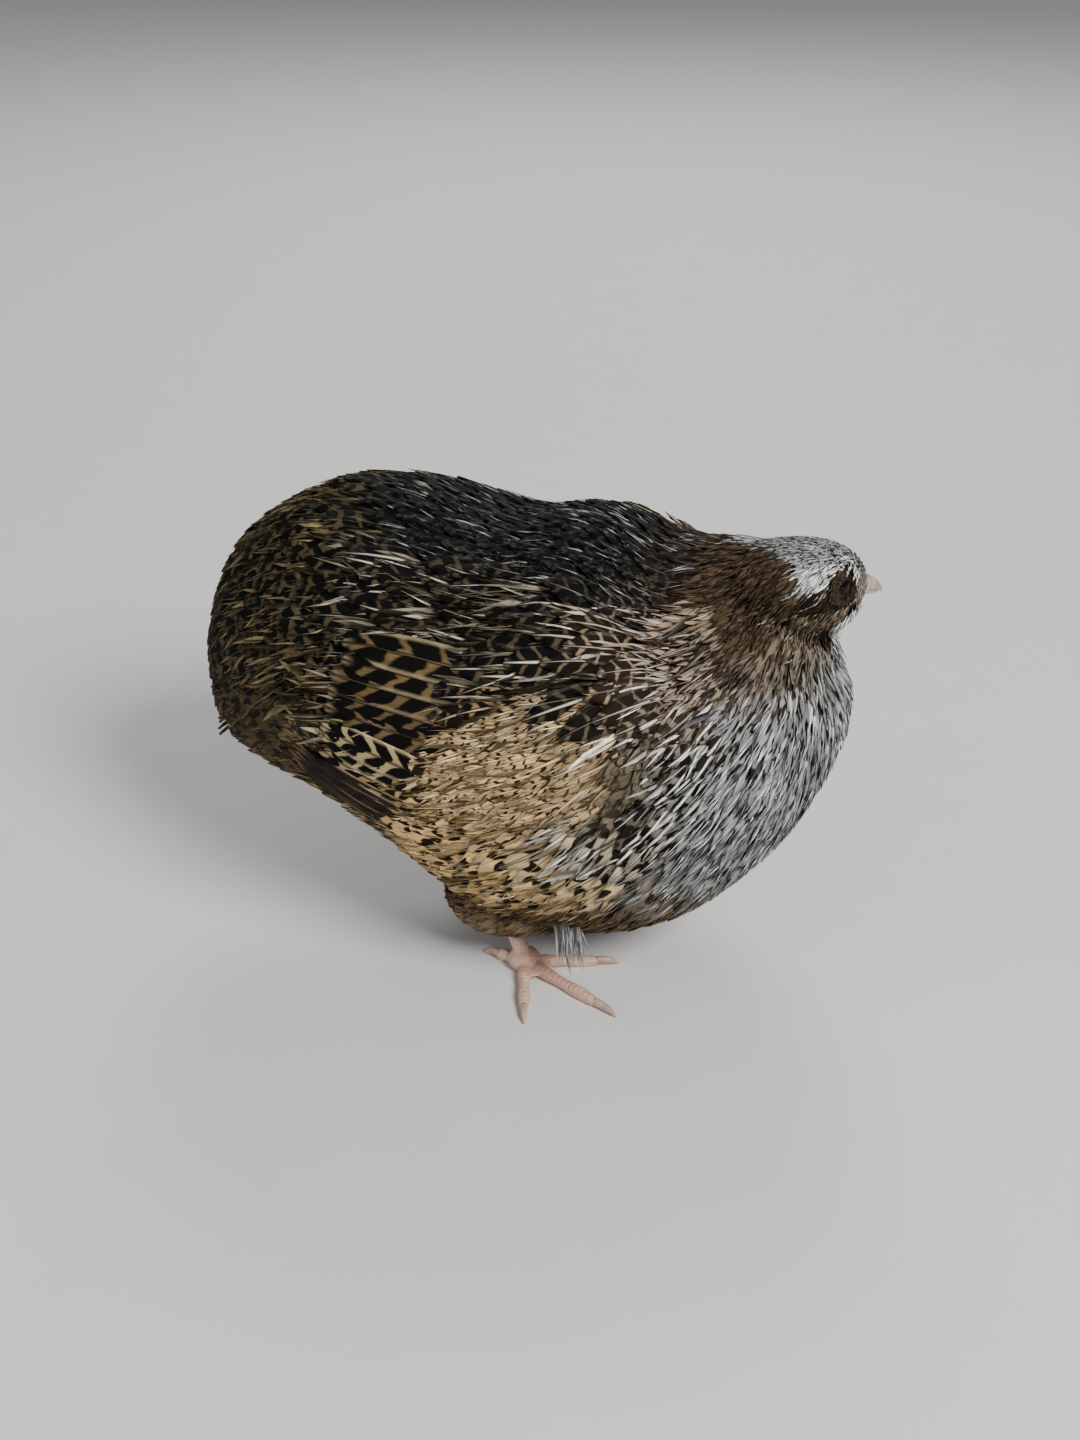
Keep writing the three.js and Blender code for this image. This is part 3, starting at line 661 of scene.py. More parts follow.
# Where the neck's feathers begin along X and in height, how high the nape begins, and where the
# breast's feathers take over along X and downwards.
NECK_FROM, NECK_UP, NAPE_UP = (30, 40), (68, 78), (77, 84)
BREAST_FROM, BREAST_DOWN = (48, 60), (-80, -70)
# Patches over the maps: the pale hackles, as a middle and a reach along X and as an angle, the
# thighs, the nape on the back of the head, the ring of small feathers round the eye, and the dark
# spot at the corner of the bill. The last two lie on the sides of the head.
HACKLES = (37, 7.5, 36, 15)
THIGHS = {"below": 19, "outside": 8, "from": -20, "to": 16}
NAPE_BEHIND, NAPE_ABOVE = -6.5, -6
EYE_RING = 3.6
GAPE_SPOT = {"forward": 8.4, "up": -4, "radius": 1.3, "stretch": 1.3}

# The head reaches as far as this: a middle and a half size along, across and up.
HEAD_REACH = ((-1, 0, -2), (16.5, 12.5, 10.8))


def head_share(points):
    """1 on the head and 0 on the neck."""
    middle, half = np.array(HEAD_REACH)
    away = np.sqrt((((head_places(points) - middle) / half) ** 2).sum(axis=1))
    return smooth(-away, -1.22, -1.06)


def map_scores(table, first, second):
    """How well each row of a map fits each place."""
    rows = np.array([row[1:] for row in table], float)
    first_off = (first[:, None] - rows[:, 0]) / rows[:, 1]
    second_off = (second[:, None] - rows[:, 2]) / rows[:, 3]
    return -(first_off**2) - second_off**2


def kinds_at(points, chance):
    """The kind of feather, as a place in KIND_NAMES, that grows at each place."""
    x, z = points[:, 0], points[:, 2]
    angle = angle_round(points)

    def best(table, first, second):
        scores = map_scores(table, first, second)
        wave = np.cos(np.arange(len(table)) * 2.4 + 30 * chance[:, None])
        scores += WAVER * chance[:, None] * wave
        return np.array([KIND_NAMES.index(row[0]) for row in table])[np.argmax(scores, axis=1)]

    kind = best(BODY_MAP, x, angle)
    neck = smooth(x, *NECK_FROM) * smooth(z, *NECK_UP)
    kind[neck > 0.35 + 0.3 * chance] = KIND_NAMES.index("collar")
    hackles = ((x - HACKLES[0]) / HACKLES[1]) ** 2 + ((angle - HACKLES[2]) / HACKLES[3]) ** 2
    kind[hackles < 0.7 + 0.6 * chance] = KIND_NAMES.index("hackle")
    kind[neck * smooth(z, *NAPE_UP) * (hackles > 1) > 0.3 + 0.3 * chance] = KIND_NAMES.index("nape")
    front = smooth(x, *BREAST_FROM) * smooth(-z, *BREAST_DOWN)
    kind[front > 0.3 + 0.4 * chance] = KIND_NAMES.index("breast")
    thighs = (z < THIGHS["below"]) & (np.abs(points[:, 1]) > THIGHS["outside"])
    kind[thighs & (x < THIGHS["to"]) & (x > THIGHS["from"])] = KIND_NAMES.index("thigh")
    f, left, up = head_places(points).T
    round_head = np.degrees(np.arctan2(np.abs(left), f))
    above = np.degrees(np.arctan2(up + 1.5, np.hypot(f, left)))
    on_head = head_share(points) > 0.5
    kind[on_head] = best(HEAD_MAP, round_head, above)[on_head]
    kind[on_head & (f < NAPE_BEHIND - 2 * chance) & (up > NAPE_ABOVE)] = KIND_NAMES.index("nape")
    sides = on_head & (np.abs(left) > SIDE_OF_HEAD)
    by_eye = np.hypot(f - EYE_SHOWN[0], up - EYE_SHOWN[1] + 0.4)
    kind[sides & (by_eye < EYE_RING + chance)] = KIND_NAMES.index("ring")
    by_gape = np.hypot(f - GAPE_SPOT["forward"], (up - GAPE_SPOT["up"]) / GAPE_SPOT["stretch"])
    kind[sides & (by_gape < GAPE_SPOT["radius"] + 0.5 * chance)] = KIND_NAMES.index("gape")
    return kind


def of_kind(kind, key):
    """One value of each feather's kind."""
    return np.array([KINDS[name][key] for name in KIND_NAMES], float)[kind]


# Where the feathers of the neck and breast fan out from, and how much they also sweep back.
FAN_FROM = (52, 4, 93)
FAN_SHARE, SWEEP_BACK = 0.75, (-0.5, 0, -0.15)
# How steeply the feathers hang at places along X, how much more they do on the flank and on the
# wing, and how steeply on the sides of the head.
DROOP = ((-70, -45, -25, 0, 20, 34, 46, 58), (0.9, 0.55, 0.15, 0.1, 0.3, 0.7, 1.5, 2.6))
FLANK_DROOP, WING_DROOP, HEAD_DROOP = 0.38, 0.16, 0.95


def along_surface(ways, normals):
    return unit(ways - normals * np.sum(ways * normals, axis=1, keepdims=True))


def lie(points, normals):
    """The way in which the feathers lie at each place, along the surface."""
    x, z = points[:, 0], points[:, 2]
    angle = angle_round(points)
    droop = np.interp(x, *DROOP)
    droop = droop * np.where(x > 10, smooth(angle, 18, 60), 1)
    droop = droop + FLANK_DROOP * smooth(angle, 88, 116) * smooth(-x, -34, -14) * smooth(x, -30, -8)
    droop = droop + WING_DROOP * smooth(angle, 56, 76) * smooth(x, -20, 0)
    way = unit(np.stack([-np.ones_like(x), -0.1 * np.sign(points[:, 1]) * (x < -20), -droop], axis=1))
    fan = unit(points - np.array(FAN_FROM)) * FAN_SHARE + np.array(SWEEP_BACK)
    share = (smooth(x, 28, 48) * smooth(z, 28, 48))[:, None]
    way = unit(way * (1 - share) + unit(fan) * share)
    f, left, up = head_places(points).T
    down = HEAD_DROOP * smooth(np.abs(left), 0, 6)
    on_head = np.stack([-np.ones_like(f), 0 * f, -down], axis=1) @ HEAD_AXES
    share = head_share(points)[:, None]
    return along_surface(way * (1 - share) + unit(on_head) * share, normals)


# The share of its length at which a feather comes out from under the others.
SHOWN_AT = 0.65


def kinds_shown(roots, ways, chance):
    """The kind of each feather: that of the place where its outer part shows."""
    length = of_kind(kinds_at(roots, chance), "size")[:, 0]
    return kinds_at(roots + ways * (SHOWN_AT * length)[:, None], chance)


# Roots stand closer side by side than one behind the other.
STRETCH = 2.6
# Cells that sort the roots for finding neighbours: up to which spacing, and how wide a cell is.
CELLS = [(0.9, 1.3), (1.7, 2.4), (3.2, 4.5), (9, 9.5)]
NEIGHBOURS = [(dx, dy, dz) for dx in (-1, 0, 1) for dy in (-1, 0, 1) for dz in (-1, 0, 1)]


def scatter(count, seed, key):
    """Roots all over the form, each at least as far from the others as its kind asks for."""
    rng = np.random.default_rng(seed)
    corners = form_places[form_faces]
    cross = np.cross(corners[:, 1] - corners[:, 0], corners[:, 2] - corners[:, 0])
    area = np.linalg.norm(cross, axis=1)
    centres = corners.mean(axis=1)
    ways = lie(centres, cross / area[:, None])
    gaps = of_kind(kinds_shown(centres, ways, np.full(len(centres), 0.5)), key)
    odds = area / gaps**2
    face = rng.choice(len(form_faces), count, p=odds / odds.sum())
    a, b = rng.random((2, count, 1))
    flip = a + b > 1
    a, b = np.where(flip, 1 - a, a), np.where(flip, 1 - b, b)
    places = corners[face, 0] * (1 - a - b) + corners[face, 1] * a + corners[face, 2] * b
    gaps = gaps[face]
    cells = np.array([next(cell for most, cell in CELLS if gap < most) for gap in gaps])
    spots = np.floor(places / cells[:, None]).astype(int)
    ways = lie(places, nearest(places)[1])
    squeeze = 1 - 1 / STRETCH**2
    grid = {}
    kept = []
    columns = [values.tolist() for values in (places, ways, gaps**2 / STRETCH, cells, spots)]
    for i, ((x, y, z), (along_x, along_y, along_z), gap, cell, spot) in enumerate(zip(*columns)):
        near = [(cell, spot[0] + dx, spot[1] + dy, spot[2] + dz) for dx, dy, dz in NEIGHBOURS]
        for other_x, other_y, other_z in [place for name in near for place in grid.get(name, ())]:
            dx, dy, dz = other_x - x, other_y - y, other_z - z
            along = dx * along_x + dy * along_y + dz * along_z
            if dx * dx + dy * dy + dz * dz - along * along * squeeze < gap:
                break
        else:
            grid.setdefault((cell, *spot), []).append((x, y, z))
            kept.append(i)
    return places[kept]


def nearest(points):
    """The closest places on the form and the form's normals there."""
    hits = [form_tree.find_nearest(Vector(p)) for p in points]
    return np.array([hit[0] for hit in hits]), np.array([hit[1] for hit in hits])


# In how many steps a feather follows the form.
STEPS = 6


def follow(roots, ways, lengths):
    """Walks from each root over the form along its way: places, normals and sides at each step."""
    places, normals = nearest(roots)
    ways = along_surface(ways, normals)
    path = [(places, normals, ways)]
    for _ in range(STEPS):
        places, normals = nearest(places + ways * (lengths / STEPS)[:, None])
        ways = along_surface(ways, normals)
        path.append((places, normals, ways))
    places, normals, ways = (np.stack(column, axis=1) for column in zip(*path))
    return places, normals, np.cross(ways, normals)


def along_path(values, t):
    """Values of each feather's path at shares t of its length."""
    s = np.clip(t, 0, 1) * STEPS
    i = np.minimum(s.astype(int), STEPS - 1)
    rest = (s - i)[..., None]
    n = np.arange(len(values)).reshape(-1, *([1] * (t.ndim - 1)))
    return values[n, i] * (1 - rest) + values[n, i + 1] * rest


def straight_path(roots, ways, lengths, out):
    """The same as follow gives, along straight lines, for feathers that face out."""
    share = np.linspace(0, 1, STEPS + 1)[None, :, None]
    places = roots[:, None, :] + ways[:, None, :] * lengths[:, None, None] * share
    normals = np.repeat(out[:, None, :], STEPS + 1, axis=1)
    return places, normals, np.cross(np.repeat(ways[:, None, :], STEPS + 1, axis=1), normals)


# The patches for baking lie in cells of this width. Body and head have their own part of the map:
# where it starts and how wide it is along U, its half width along V, and half the length it shows.
PATCH_CELL, PATCH_WIDTH = 0.0034, 0.003
BODY_PART, HEAD_PART = (0.02, 0.7, 0.48, 75), (0.76, 0.2, 0.45, 17)


def bake_patches(roots):
    """Each feather's own small patch, at its root's place on the skin unrolled round the long axis."""
    across = int(1 / PATCH_CELL) - 2
    start, wide, high, half = BODY_PART
    u = start + wide * (roots[:, 0] + half) / (2 * half)
    v = 0.5 + high * np.sign(roots[:, 1]) * angle_round(roots) / 180
    on_head = head_share(roots) > 0.5
    f, left, up = head_places(roots[on_head]).T
    start, wide, high, half = HEAD_PART
    u[on_head] = start + wide * (f + half) / (2 * half)
    v[on_head] = 0.5 + high * np.arctan2(left, up + 2) / math.pi
    taken = set()
    corners = []
    for place in np.stack([u, v], axis=1):
        i, j = (int(value / PATCH_CELL) for value in place)
        while (i, j) in taken:
            i += 1
            if i > across:
                i, j = 1, j + 1
        taken.add((i, j))
        corners.append((i * PATCH_CELL, j * PATCH_CELL))
    return np.array(corners)


# The outline of a vane: shares of its length, and how wide it is there as shares of its width.
VANE = ((0, 0.12, 0.4, 0.75, 1), (0.3, 0.62, 1, 0.98, 0.8))
FLIGHT_VANE = ((0, 0.12, 0.35, 0.8, 1), (0.35, 0.75, 1, 0.95, 0.7))
STRAND = ((0, 0.35, 0.75, 1), (0.05, 0.3, 1, 0.2))
# How finely strands and flight feathers are divided along and across.
STRAND_GRID = {"rows": 6, "columns": 2, "outline": STRAND}
FLIGHT_GRID = {"rows": 14, "columns": 12}

# The shape of a vane: how its root dips, how its sides bend down, how uneven it is across, how
# often it splits and how deep, how thick its spine is and how far below its sides it lies.
ROOT_DIP, CAMBER, RIDGES = 1.6, 0.09, 0.02
SPLITS, SPLIT_DEPTH = 0.03, 0.14
SPINE, SPINE_PER_WIDTH, SPINE_BELOW = 0.05, 0.012, 0.13


def off_middle(rng, shape):
    """Chance values from -0.5 to 0.5."""
    return rng.random(shape) - 0.5


def sway(bend, wave, t):
    """How far a vane drifts to its side at shares t of its length."""
    return bend * t**2 + wave * np.sin(7 * t + 40 * wave)


def lift_of(depth, rise, t, lead):
    """How far a vane stands off the form at shares t of its length."""
    return -depth * (1 - t) ** ROOT_DIP + rise * (1 - (1 - t) ** lead)


def vane_corners(looks, path, rng, grid, lead, outline):
    """The corners of each vane, upper side first and then its spine, and their places on it."""
    rows, columns = grid
    count = len(looks["length"])
    u = np.linspace(-1, 1, columns + 1)[None, None, :]
    v = np.linspace(0, 1, rows + 1)[None, :, None]
    column = {key: np.asarray(value)[:, None, None] for key, value in looks.items() if np.ndim(value) == 1}
    notch = np.where(np.arange(columns + 1) % 2 == 1, 1.0, 0.0)[None, None, :]
    shape = (count, 1, columns + 1)
    jag = column["jagged"] * (notch + 0.6 * (rng.random(shape) - 0.4))
    split = rng.random(shape) > 1 - SPLITS
    jag = jag + SPLIT_DEPTH * split * (column["jagged"] > 0)
    round_tip = (0.18 + 0.42 * column["pointed"]) * np.abs(u) ** (2.4 - 1.2 * column["pointed"])
    reach = np.clip(1 - round_tip - jag, 0.3, 1)
    t = v * reach
    narrowing = 1 - column["pointed"] * 0.55 * smooth(t, 0.5, 1.05)
    half = column["width"] / 2 * np.interp(t, *outline) * narrowing
    drift = sway(column["bend"], column["wave"], t)
    ridges = RIDGES * column["width"] * off_middle(rng, shape) * smooth(t, 0.1, 0.6)
    off = lift_of(column["depth"], column["rise"], t, lead) - CAMBER * half * u**2 + ridges
    centre, normal, side = (along_path(values, t) for values in path)
    top = centre + side * (u * half + drift)[..., None] + normal * off[..., None]

    spine = np.linspace(0, 1, rows + 1)[None, :] * reach[:, :, columns // 2]
    depth, rise, width = (looks[key][:, None] for key in ("depth", "rise", "width"))
    bend, wave = looks["bend"][:, None], looks["wave"][:, None]
    thick = (SPINE + SPINE_PER_WIDTH * width) * (1 - 0.6 * spine)
    off = lift_of(depth, rise, spine, lead) - thick - SPINE_BELOW * half[:, :, -1]
    centre, normal, side = (along_path(values, spine) for values in path)
    under = centre + normal * off[..., None] + side * sway(bend, wave, spine)[..., None]

    flat_u = np.broadcast_to((u + 1) / 2, t.shape).reshape(count, -1)
    flat_u = np.concatenate([flat_u, np.full((count, rows + 1), 0.5)], axis=1)
    flat_v = np.concatenate([t.reshape(count, -1), spine], axis=1)
    return np.concatenate([top.reshape(count, -1, 3), under], axis=1), np.stack([flat_u, flat_v], axis=2)


def vane_faces(rows, columns):
    """The triangles of one closed vane: its upper side, and its edges down to the spine below."""
    faces = []
    wide = columns + 1
    first_under = wide * (rows + 1)
    for j in range(rows):
        for i in range(columns):
            a, b = j * wide + i, j * wide + i + 1
            c, d = a + wide, b + wide
            faces += [(a, b, d), (a, d, c)] if i < columns / 2 else [(a, b, c), (b, d, c)]
        left, right = j * wide, j * wide + columns
        low, high = first_under + j, first_under + j + 1
        faces += [(left, left + wide, high), (left, high, low)]
        faces += [(right, low, high), (right, high, right + wide)]
    for i in range(columns):
        faces.append((i + 1, i, first_under))
        end = rows * wide + i
        faces.append((end, end + 1, first_under + rows))
    return np.array(faces)


def colour_attribute(mesh, key, colours):
    values = np.concatenate([colours, np.ones((len(colours), 1))], axis=1)
    mesh.attributes.new(key, "FLOAT_COLOR", "POINT").data.foreach_set("color", values.ravel())


def make_feathers(name, roots, ways, looks, seed, rows, columns, straight=None, lead=1, outline=VANE):
    """Joins one mesh from many thin closed vanes that lie over one another.

    looks holds arrays, one value for each feather: length, width, depth, rise, pointed, jagged,
    bend, wave, ground, dark, light, streak, cover, bars and fringe. A higher lead lifts the vane
    sooner. Feathers with straight given don't follow the form, but run straight and face that way.
    """
    rng = np.random.default_rng(SEED + seed)
    count = len(roots)
    if straight is None:
        path = follow(roots, ways, looks["length"])
    else:
        path = straight_path(roots, ways, looks["length"], straight)
    points, on_vane = vane_corners(looks, path, rng, (rows, columns), lead, outline)
    each = points.shape[1]
    triangles = vane_faces(rows, columns)[None] + (np.arange(count) * each)[:, None, None]
    triangles = triangles.reshape(-1, 3)

    mesh = bpy.data.meshes.new(name)
    mesh.vertices.add(count * each)
    mesh.vertices.foreach_set("co", ((points.reshape(-1, 3) + SHIFT) * MM).ravel())
    mesh.loops.add(triangles.size)
    mesh.loops.foreach_set("vertex_index", triangles.ravel())
    mesh.polygons.add(len(triangles))
    mesh.polygons.foreach_set("loop_start", np.arange(0, triangles.size, 3))
    mesh.update(calc_edges=True)

    patch = bake_patches(roots)[:, None, :] + on_vane * PATCH_WIDTH
    for layer, values in (("Vane", on_vane), ("OFBake", patch)):
        corners = values.reshape(-1, 2)[triangles.ravel()]
        mesh.uv_layers.new(name=layer).data.foreach_set("uv", corners.ravel())
    for key in COLOURS:
        colour_attribute(mesh, key, np.repeat(looks[key], each, axis=0))
    pattern = np.stack([looks["streak"], looks["cover"], looks["bars"]], axis=1)
    chance = np.stack([rng.random(count), looks["fringe"], rng.random(count)], axis=1)
    for key, values in (("pattern", pattern), ("chance", chance)):
        attribute = mesh.attributes.new(key, "FLOAT_VECTOR", "POINT")
        attribute.data.foreach_set("vector", np.repeat(values, each, axis=0).ravel())
    item = bpy.data.objects.new(name, mesh)
    bpy.context.scene.collection.objects.link(item)
    print(name, count, "feathers", len(triangles), "triangles")
    return item


# How much the feathers of one kind differ in length, width, shade, bend and dark part. Strands bend
# and wave by these shares of their length.
VARY_LENGTH, VARY_WIDTH, VARY_SHADE, VARY_BEND, VARY_COVER = 0.22, 0.2, 0.3, 0.16, 0.2
STRAND_BEND, STRAND_WAVE = 0.34, 0.1


def looks_of(kind, rng):
    """The looks of feathers of those kinds, each a little different."""
    count = len(kind)
    size = of_kind(kind, "size")
    vary = 1 + VARY_LENGTH * off_middle(rng, count)
    shade = (1 + VARY_SHADE * off_middle(rng, count))[:, None]
    streaked = rng.random(count) < of_kind(kind, "streaked")
    return {
        "length": size[:, 0] * vary,
        "width": size[:, 1] * (1 + VARY_WIDTH * off_middle(rng, count)),
        "depth": of_kind(kind, "depth"),
        "rise": of_kind(kind, "rise") * (0.5 + rng.random(count)),
        "pointed": of_kind(kind, "pointed"),
        "jagged": 0.25 * (1 + rng.random(count)) / size[:, 0],
        "bend": size[:, 0] * VARY_BEND * off_middle(rng, count),
        "wave": np.zeros(count),
        "ground": of_kind(kind, "ground") * shade,
        "dark": of_kind(kind, "dark") * shade,
        "light": of_kind(kind, "light") * shade,
        "streak": of_kind(kind, "streak") * (0.6 + 0.8 * rng.random(count)) * streaked,
        "cover": of_kind(kind, "cover") + VARY_COVER * off_middle(rng, count),
        "bars": of_kind(kind, "bars") * (0.85 + 0.3 * rng.random(count)),
        "fringe": of_kind(kind, "fringe"),
    }


def strand_looks(kind, rng):
    """The looks of loose strands: narrow, pointed and of one colour each."""
    count = len(kind)
    size = of_kind(kind, "strand") * (0.6 + 0.8 * rng.random((count, 2)))
    is_dark = (rng.random(count) < of_kind(kind, "dark_strands"))[:, None]
    blend = rng.random((count, 1))
    pale = of_kind(kind, "light") * (1 - blend) + of_kind(kind, "ground") * blend
    deep = of_kind(kind, "dark") * (1 - blend) + of_kind(kind, "ground") * blend
    colour = np.where(is_dark, deep, pale) * (1 + VARY_SHADE * off_middle(rng, (count, 1)))
    soft = (colour + of_kind(kind, "ground")) / 2
    nothing = np.zeros(count)
    return {
        "length": size[:, 0],
        "width": size[:, 1],
        "depth": of_kind(kind, "depth"),
        "rise": of_kind(kind, "rise") * (0.8 + 0.5 * rng.random(count)),
        "pointed": np.ones(count),
        "jagged": nothing,
        "bend": size[:, 0] * STRAND_BEND * off_middle(rng, count),
        "wave": size[:, 0] * STRAND_WAVE * off_middle(rng, count),
        "ground": soft,
        "dark": soft * 0.8,
        "light": colour,
        "streak": nothing + 0.35,
        "cover": nothing - 1,
        "bars": np.ones(count),
        "fringe": nothing,
    }


def smoothed(values, rounds):
    """Values of the form's corners, each evened out with its neighbours."""
    if values.ndim == 2:
        return np.stack([smoothed(column, rounds) for column in values.T], axis=1)
    edges = np.empty(len(body.data.edges) * 2, int)
    body.data.edges.foreach_get("vertices", edges)
    a, b = edges.reshape(-1, 2).T
    links = np.bincount(np.concatenate([a, b]), minlength=len(values))
    for _ in range(rounds):
        total = np.bincount(a, values[b], len(values)) + np.bincount(b, values[a], len(values))
        values = (values + total / links) / 2
    return values


# How far the depth and the colours of neighbouring kinds run into one another.
DEPTH_ROUNDS, COLOUR_ROUNDS = 16, 40
form_kind = kinds_at(form_places, np.full(len(form_places), 0.5))
skin_depth = smoothed(of_kind(form_kind, "depth"), DEPTH_ROUNDS)
soft_colours = {key: smoothed(of_kind(form_kind, key), COLOUR_ROUNDS) for key in COLOURS}


def at_face(values, points):
    """Values of the form's corners as they are at the places nearest to the points."""
    face = [form_tree.find_nearest(Vector(p))[2] for p in points]
    return values[form_faces[face]].mean(axis=1)


# Shader sums

class Tone:
    """A socket in a material's tree. Sums on it add Math nodes."""

    def __init__(self, tree, socket=None):
        self.tree = tree
        self.socket = socket

    def node(self, kind, settings, sockets):
        """Any other node: its settings are set first, then the values or links of its sockets."""
        made = self.tree.nodes.new(kind)
        for name, value in settings.items():
            setattr(made, name, value)
        for name, value in sockets.items():
            if isinstance(value, Tone):
                self.tree.links.new(value.socket, made.inputs[name])
            else:
                made.inputs[name].default_value = value
        return Tone(self.tree, next(socket for socket in made.outputs if socket.enabled))

    def output(self, name):
        return Tone(self.tree, self.socket.node.outputs[name])

    def math(self, operation, *values):
        return self.node("ShaderNodeMath", {"operation": operation}, dict(enumerate(values)))

    def __add__(self, other):
        return self.math("ADD", self, other)

    def __sub__(self, other):
        return self.math("SUBTRACT", self, other)

    def __rsub__(self, other):
        return self.math("SUBTRACT", other, self)

    def __mul__(self, other):
        return self.math("MULTIPLY", self, other)

    __radd__ = __add__
    __rmul__ = __mul__

    def step(self, low, high):
        """0 below low and 1 above high, smooth between them."""
        return self.node(
            "ShaderNodeMapRange",
            {"interpolation_type": "SMOOTHSTEP"},
            {"Value": self, "From Min": low, "From Max": high},
        )

    def mix(self, first, second):
        """The first colour where this is 0 and the second where it is 1."""
        return self.node("ShaderNodeMix", {"data_type": "RGBA"}, {0: self, 6: first, 7: second})

    def colour_times(self, colour):
        """A colour made darker or lighter by this value."""
        grey = self.node("ShaderNodeCombineColor", {}, {0: self, 1: self, 2: self})
        return self.node(
            "ShaderNodeMix", {"data_type": "RGBA", "blend_type": "MULTIPLY"}, {0: 1.0, 6: colour, 7: grey}
        )


def new_material(name):
    material = bpy.data.materials.new(name)
    material.use_nodes = True
    material.node_tree.nodes.clear()
    return material, Tone(material.node_tree)


def parts_of(start, vector):
    """The three parts of a vector."""
    parts = start.node("ShaderNodeSeparateXYZ", {}, {0: vector})
    return [parts.output(axis) for axis in "XYZ"]


def vector_of(start, x, y, z):
    return start.node("ShaderNodeCombineXYZ", {}, {0: x, 1: y, 2: z})


def uv_place(start, name):
    return parts_of(start, start.node("ShaderNodeUVMap", {"uv_map": name}, {}))[:2]


def own_place(start):
    return start.node("ShaderNodeTexCoord", {}, {}).output("Object")


def noise(start, place, scale, detail):
    return start.node("ShaderNodeTexNoise", {}, {"Vector": place, "Scale": scale, "Detail": detail})


def beads(start, place, scale):
    return start.node("ShaderNodeTexVoronoi", {}, {"Vector": place, "Scale": scale}).output("Distance")


def close_material(start, base, roughness, bump, distance, **constants):
    """The shader and its output. Constants sit on the shader's own sockets."""
    normal = start.node("ShaderNodeBump", {}, {"Height": bump, "Distance": distance, "Strength": 1.0})
    sockets = {"Base Color": base, "Roughness": roughness, "Normal": normal}
    sockets.update({name.replace("_", " "): value for name, value in constants.items()})
    shader = start.node("ShaderNodeBsdfPrincipled", {}, sockets)
    output = start.tree.nodes.new("ShaderNodeOutputMaterial")
    start.tree.links.new(shader.socket, output.inputs["Surface"])


# Barbs: how many along a vane, how much they slant and how strongly they shade it.
BARBS, BARB_SLANT, BARB_SHADE = 34, 0.3, 0.7
# Bars: how softly they end, how much the barbs and the patches break their edges up, and how far the
# middle and the edge of a vane stay clear of them.
BAR_EDGE, BAR_BARBS, BAR_PATCHES, BAR_CORNERS = 0.12, 0.35, 0.3, 0.45


def feather_material(name):
    """Shaft streak, bars, fringe and barbs, drawn along each feather's own length and width, with painted
    shade towards each root.
    """
    material, start = new_material(name)
    u, v = uv_place(start, "Vane")

    def attribute(key, output):
        return start.node("ShaderNodeAttribute", {"attribute_name": key}, {}).output(output)

    ground, dark, light = (attribute(key, "Color") for key in COLOURS)
    streak, cover, bars = parts_of(start, attribute("pattern", "Vector"))
    chance, fringe, second = parts_of(start, attribute("chance", "Vector"))

    across = (u - 0.5).math("ABSOLUTE", u - 0.5) * 2
    web = (u - 0.5).step(-0.02, 0.02)
    barb_line = (v - across * BARB_SLANT) * BARBS + chance * 70
    barb_place = vector_of(start, barb_line, web * 5 + second * 30, across * 1.5)
    barbs = noise(start, barb_place, 1.0, 2.0)
    patch_place = vector_of(start, v * 5 + chance * 40, u * 3 + second * 40, 0.0)
    patches = noise(start, patch_place, 1.0, 1.0) - 0.5

    turn = (v - across * 0.1 + patches * 0.1) * bars + chance + web * (second * 0.35)
    wave = (turn * math.tau).math("COSINE", turn * math.tau) * 0.5 + 0.5
    corner = (across * 2 - 1) * (across * 2 - 1)
    corner = corner * corner * BAR_CORNERS
    broken = (barbs - 0.5) * BAR_BARBS + patches * BAR_PATCHES
    bar = (wave + broken - corner + 0.1 - (1 - cover)).step(-BAR_EDGE, BAR_EDGE)
    rim = across.step(0.7, 1.0) + (v - across * 0.1).step(0.86, 1.0)
    rim = rim.math("MINIMUM", rim, 1.0)
    narrow = streak * (1.35 - v * 0.7)
    shaft = 1 - (across - narrow).step(0.02, 0.1)
    shaft = shaft * v.step(0.08, 0.3) * streak.step(0.0, 0.04)

    # The ground with its bars and its pale fringe, then the streak between two dark lines.
    colour = (bar * (1 - rim * fringe)).mix(ground, dark)
    colour = (rim * fringe).mix(colour, light)
    edge = shaft * (1 - (across - narrow).step(-0.14, -0.02))
    colour = ((shaft - edge) * 0.75).mix(colour, dark)
    colour = edge.mix(colour, light)
    # Painted shade: each vane darkens towards its root, where the feathers over it would shade it.
    shade = v.step(-0.1, 0.55) * 0.5 + 0.5
    colour = (shade * (barbs * BARB_SHADE + 0.65)).colour_times(colour)
    bump = barbs * 0.6 + (1 - across.step(0.0, 0.1)) * 0.6
    close_material(start, colour, 0.8, bump, 0.00012, Specular_IOR_Level=0.12)
    return material


# The coat

# Each group's finish, the rows and columns of each vane, and its kinds.
GROUPS = {
    "head": ("head_plumage", 4, 4, "crown brow ear cheek ring lore gape malar throat"),
    "neck": ("head_plumage", 5, 4, "nape hackle collar"),
    "breast": ("breast_plumage", 5, 6, "breast side shoulder"),
    "belly": ("breast_plumage", 5, 6, "belly thigh vent flank"),
    "back": ("back_plumage", 5, 8, "mantle rump"),
    "scapular": ("back_plumage", 6, 12, "scapular"),
    "wing": ("wing_plumage", 6, 8, "covert bend wing"),
}
FEATHER_TRIES, STRAND_TRIES, QUICK_SHARE = 110000, 150000, 0.4
# Roots keep off the eye and the bill, and no feather reaches over the eye.
TIGHT_AT_EYE, CLEAR_EYE, SHORTEST = 1.8, 1.9, 0.7
BILL_ROOM = {"half": (3.2, 2.9), "up": 0.4, "from": 9}
# How deep roots sit, as a share of their kind's depth, and how much less so by the eye.
ROOT_DEPTH, SHALLOW_BY_EYE = 1.1, 0.8
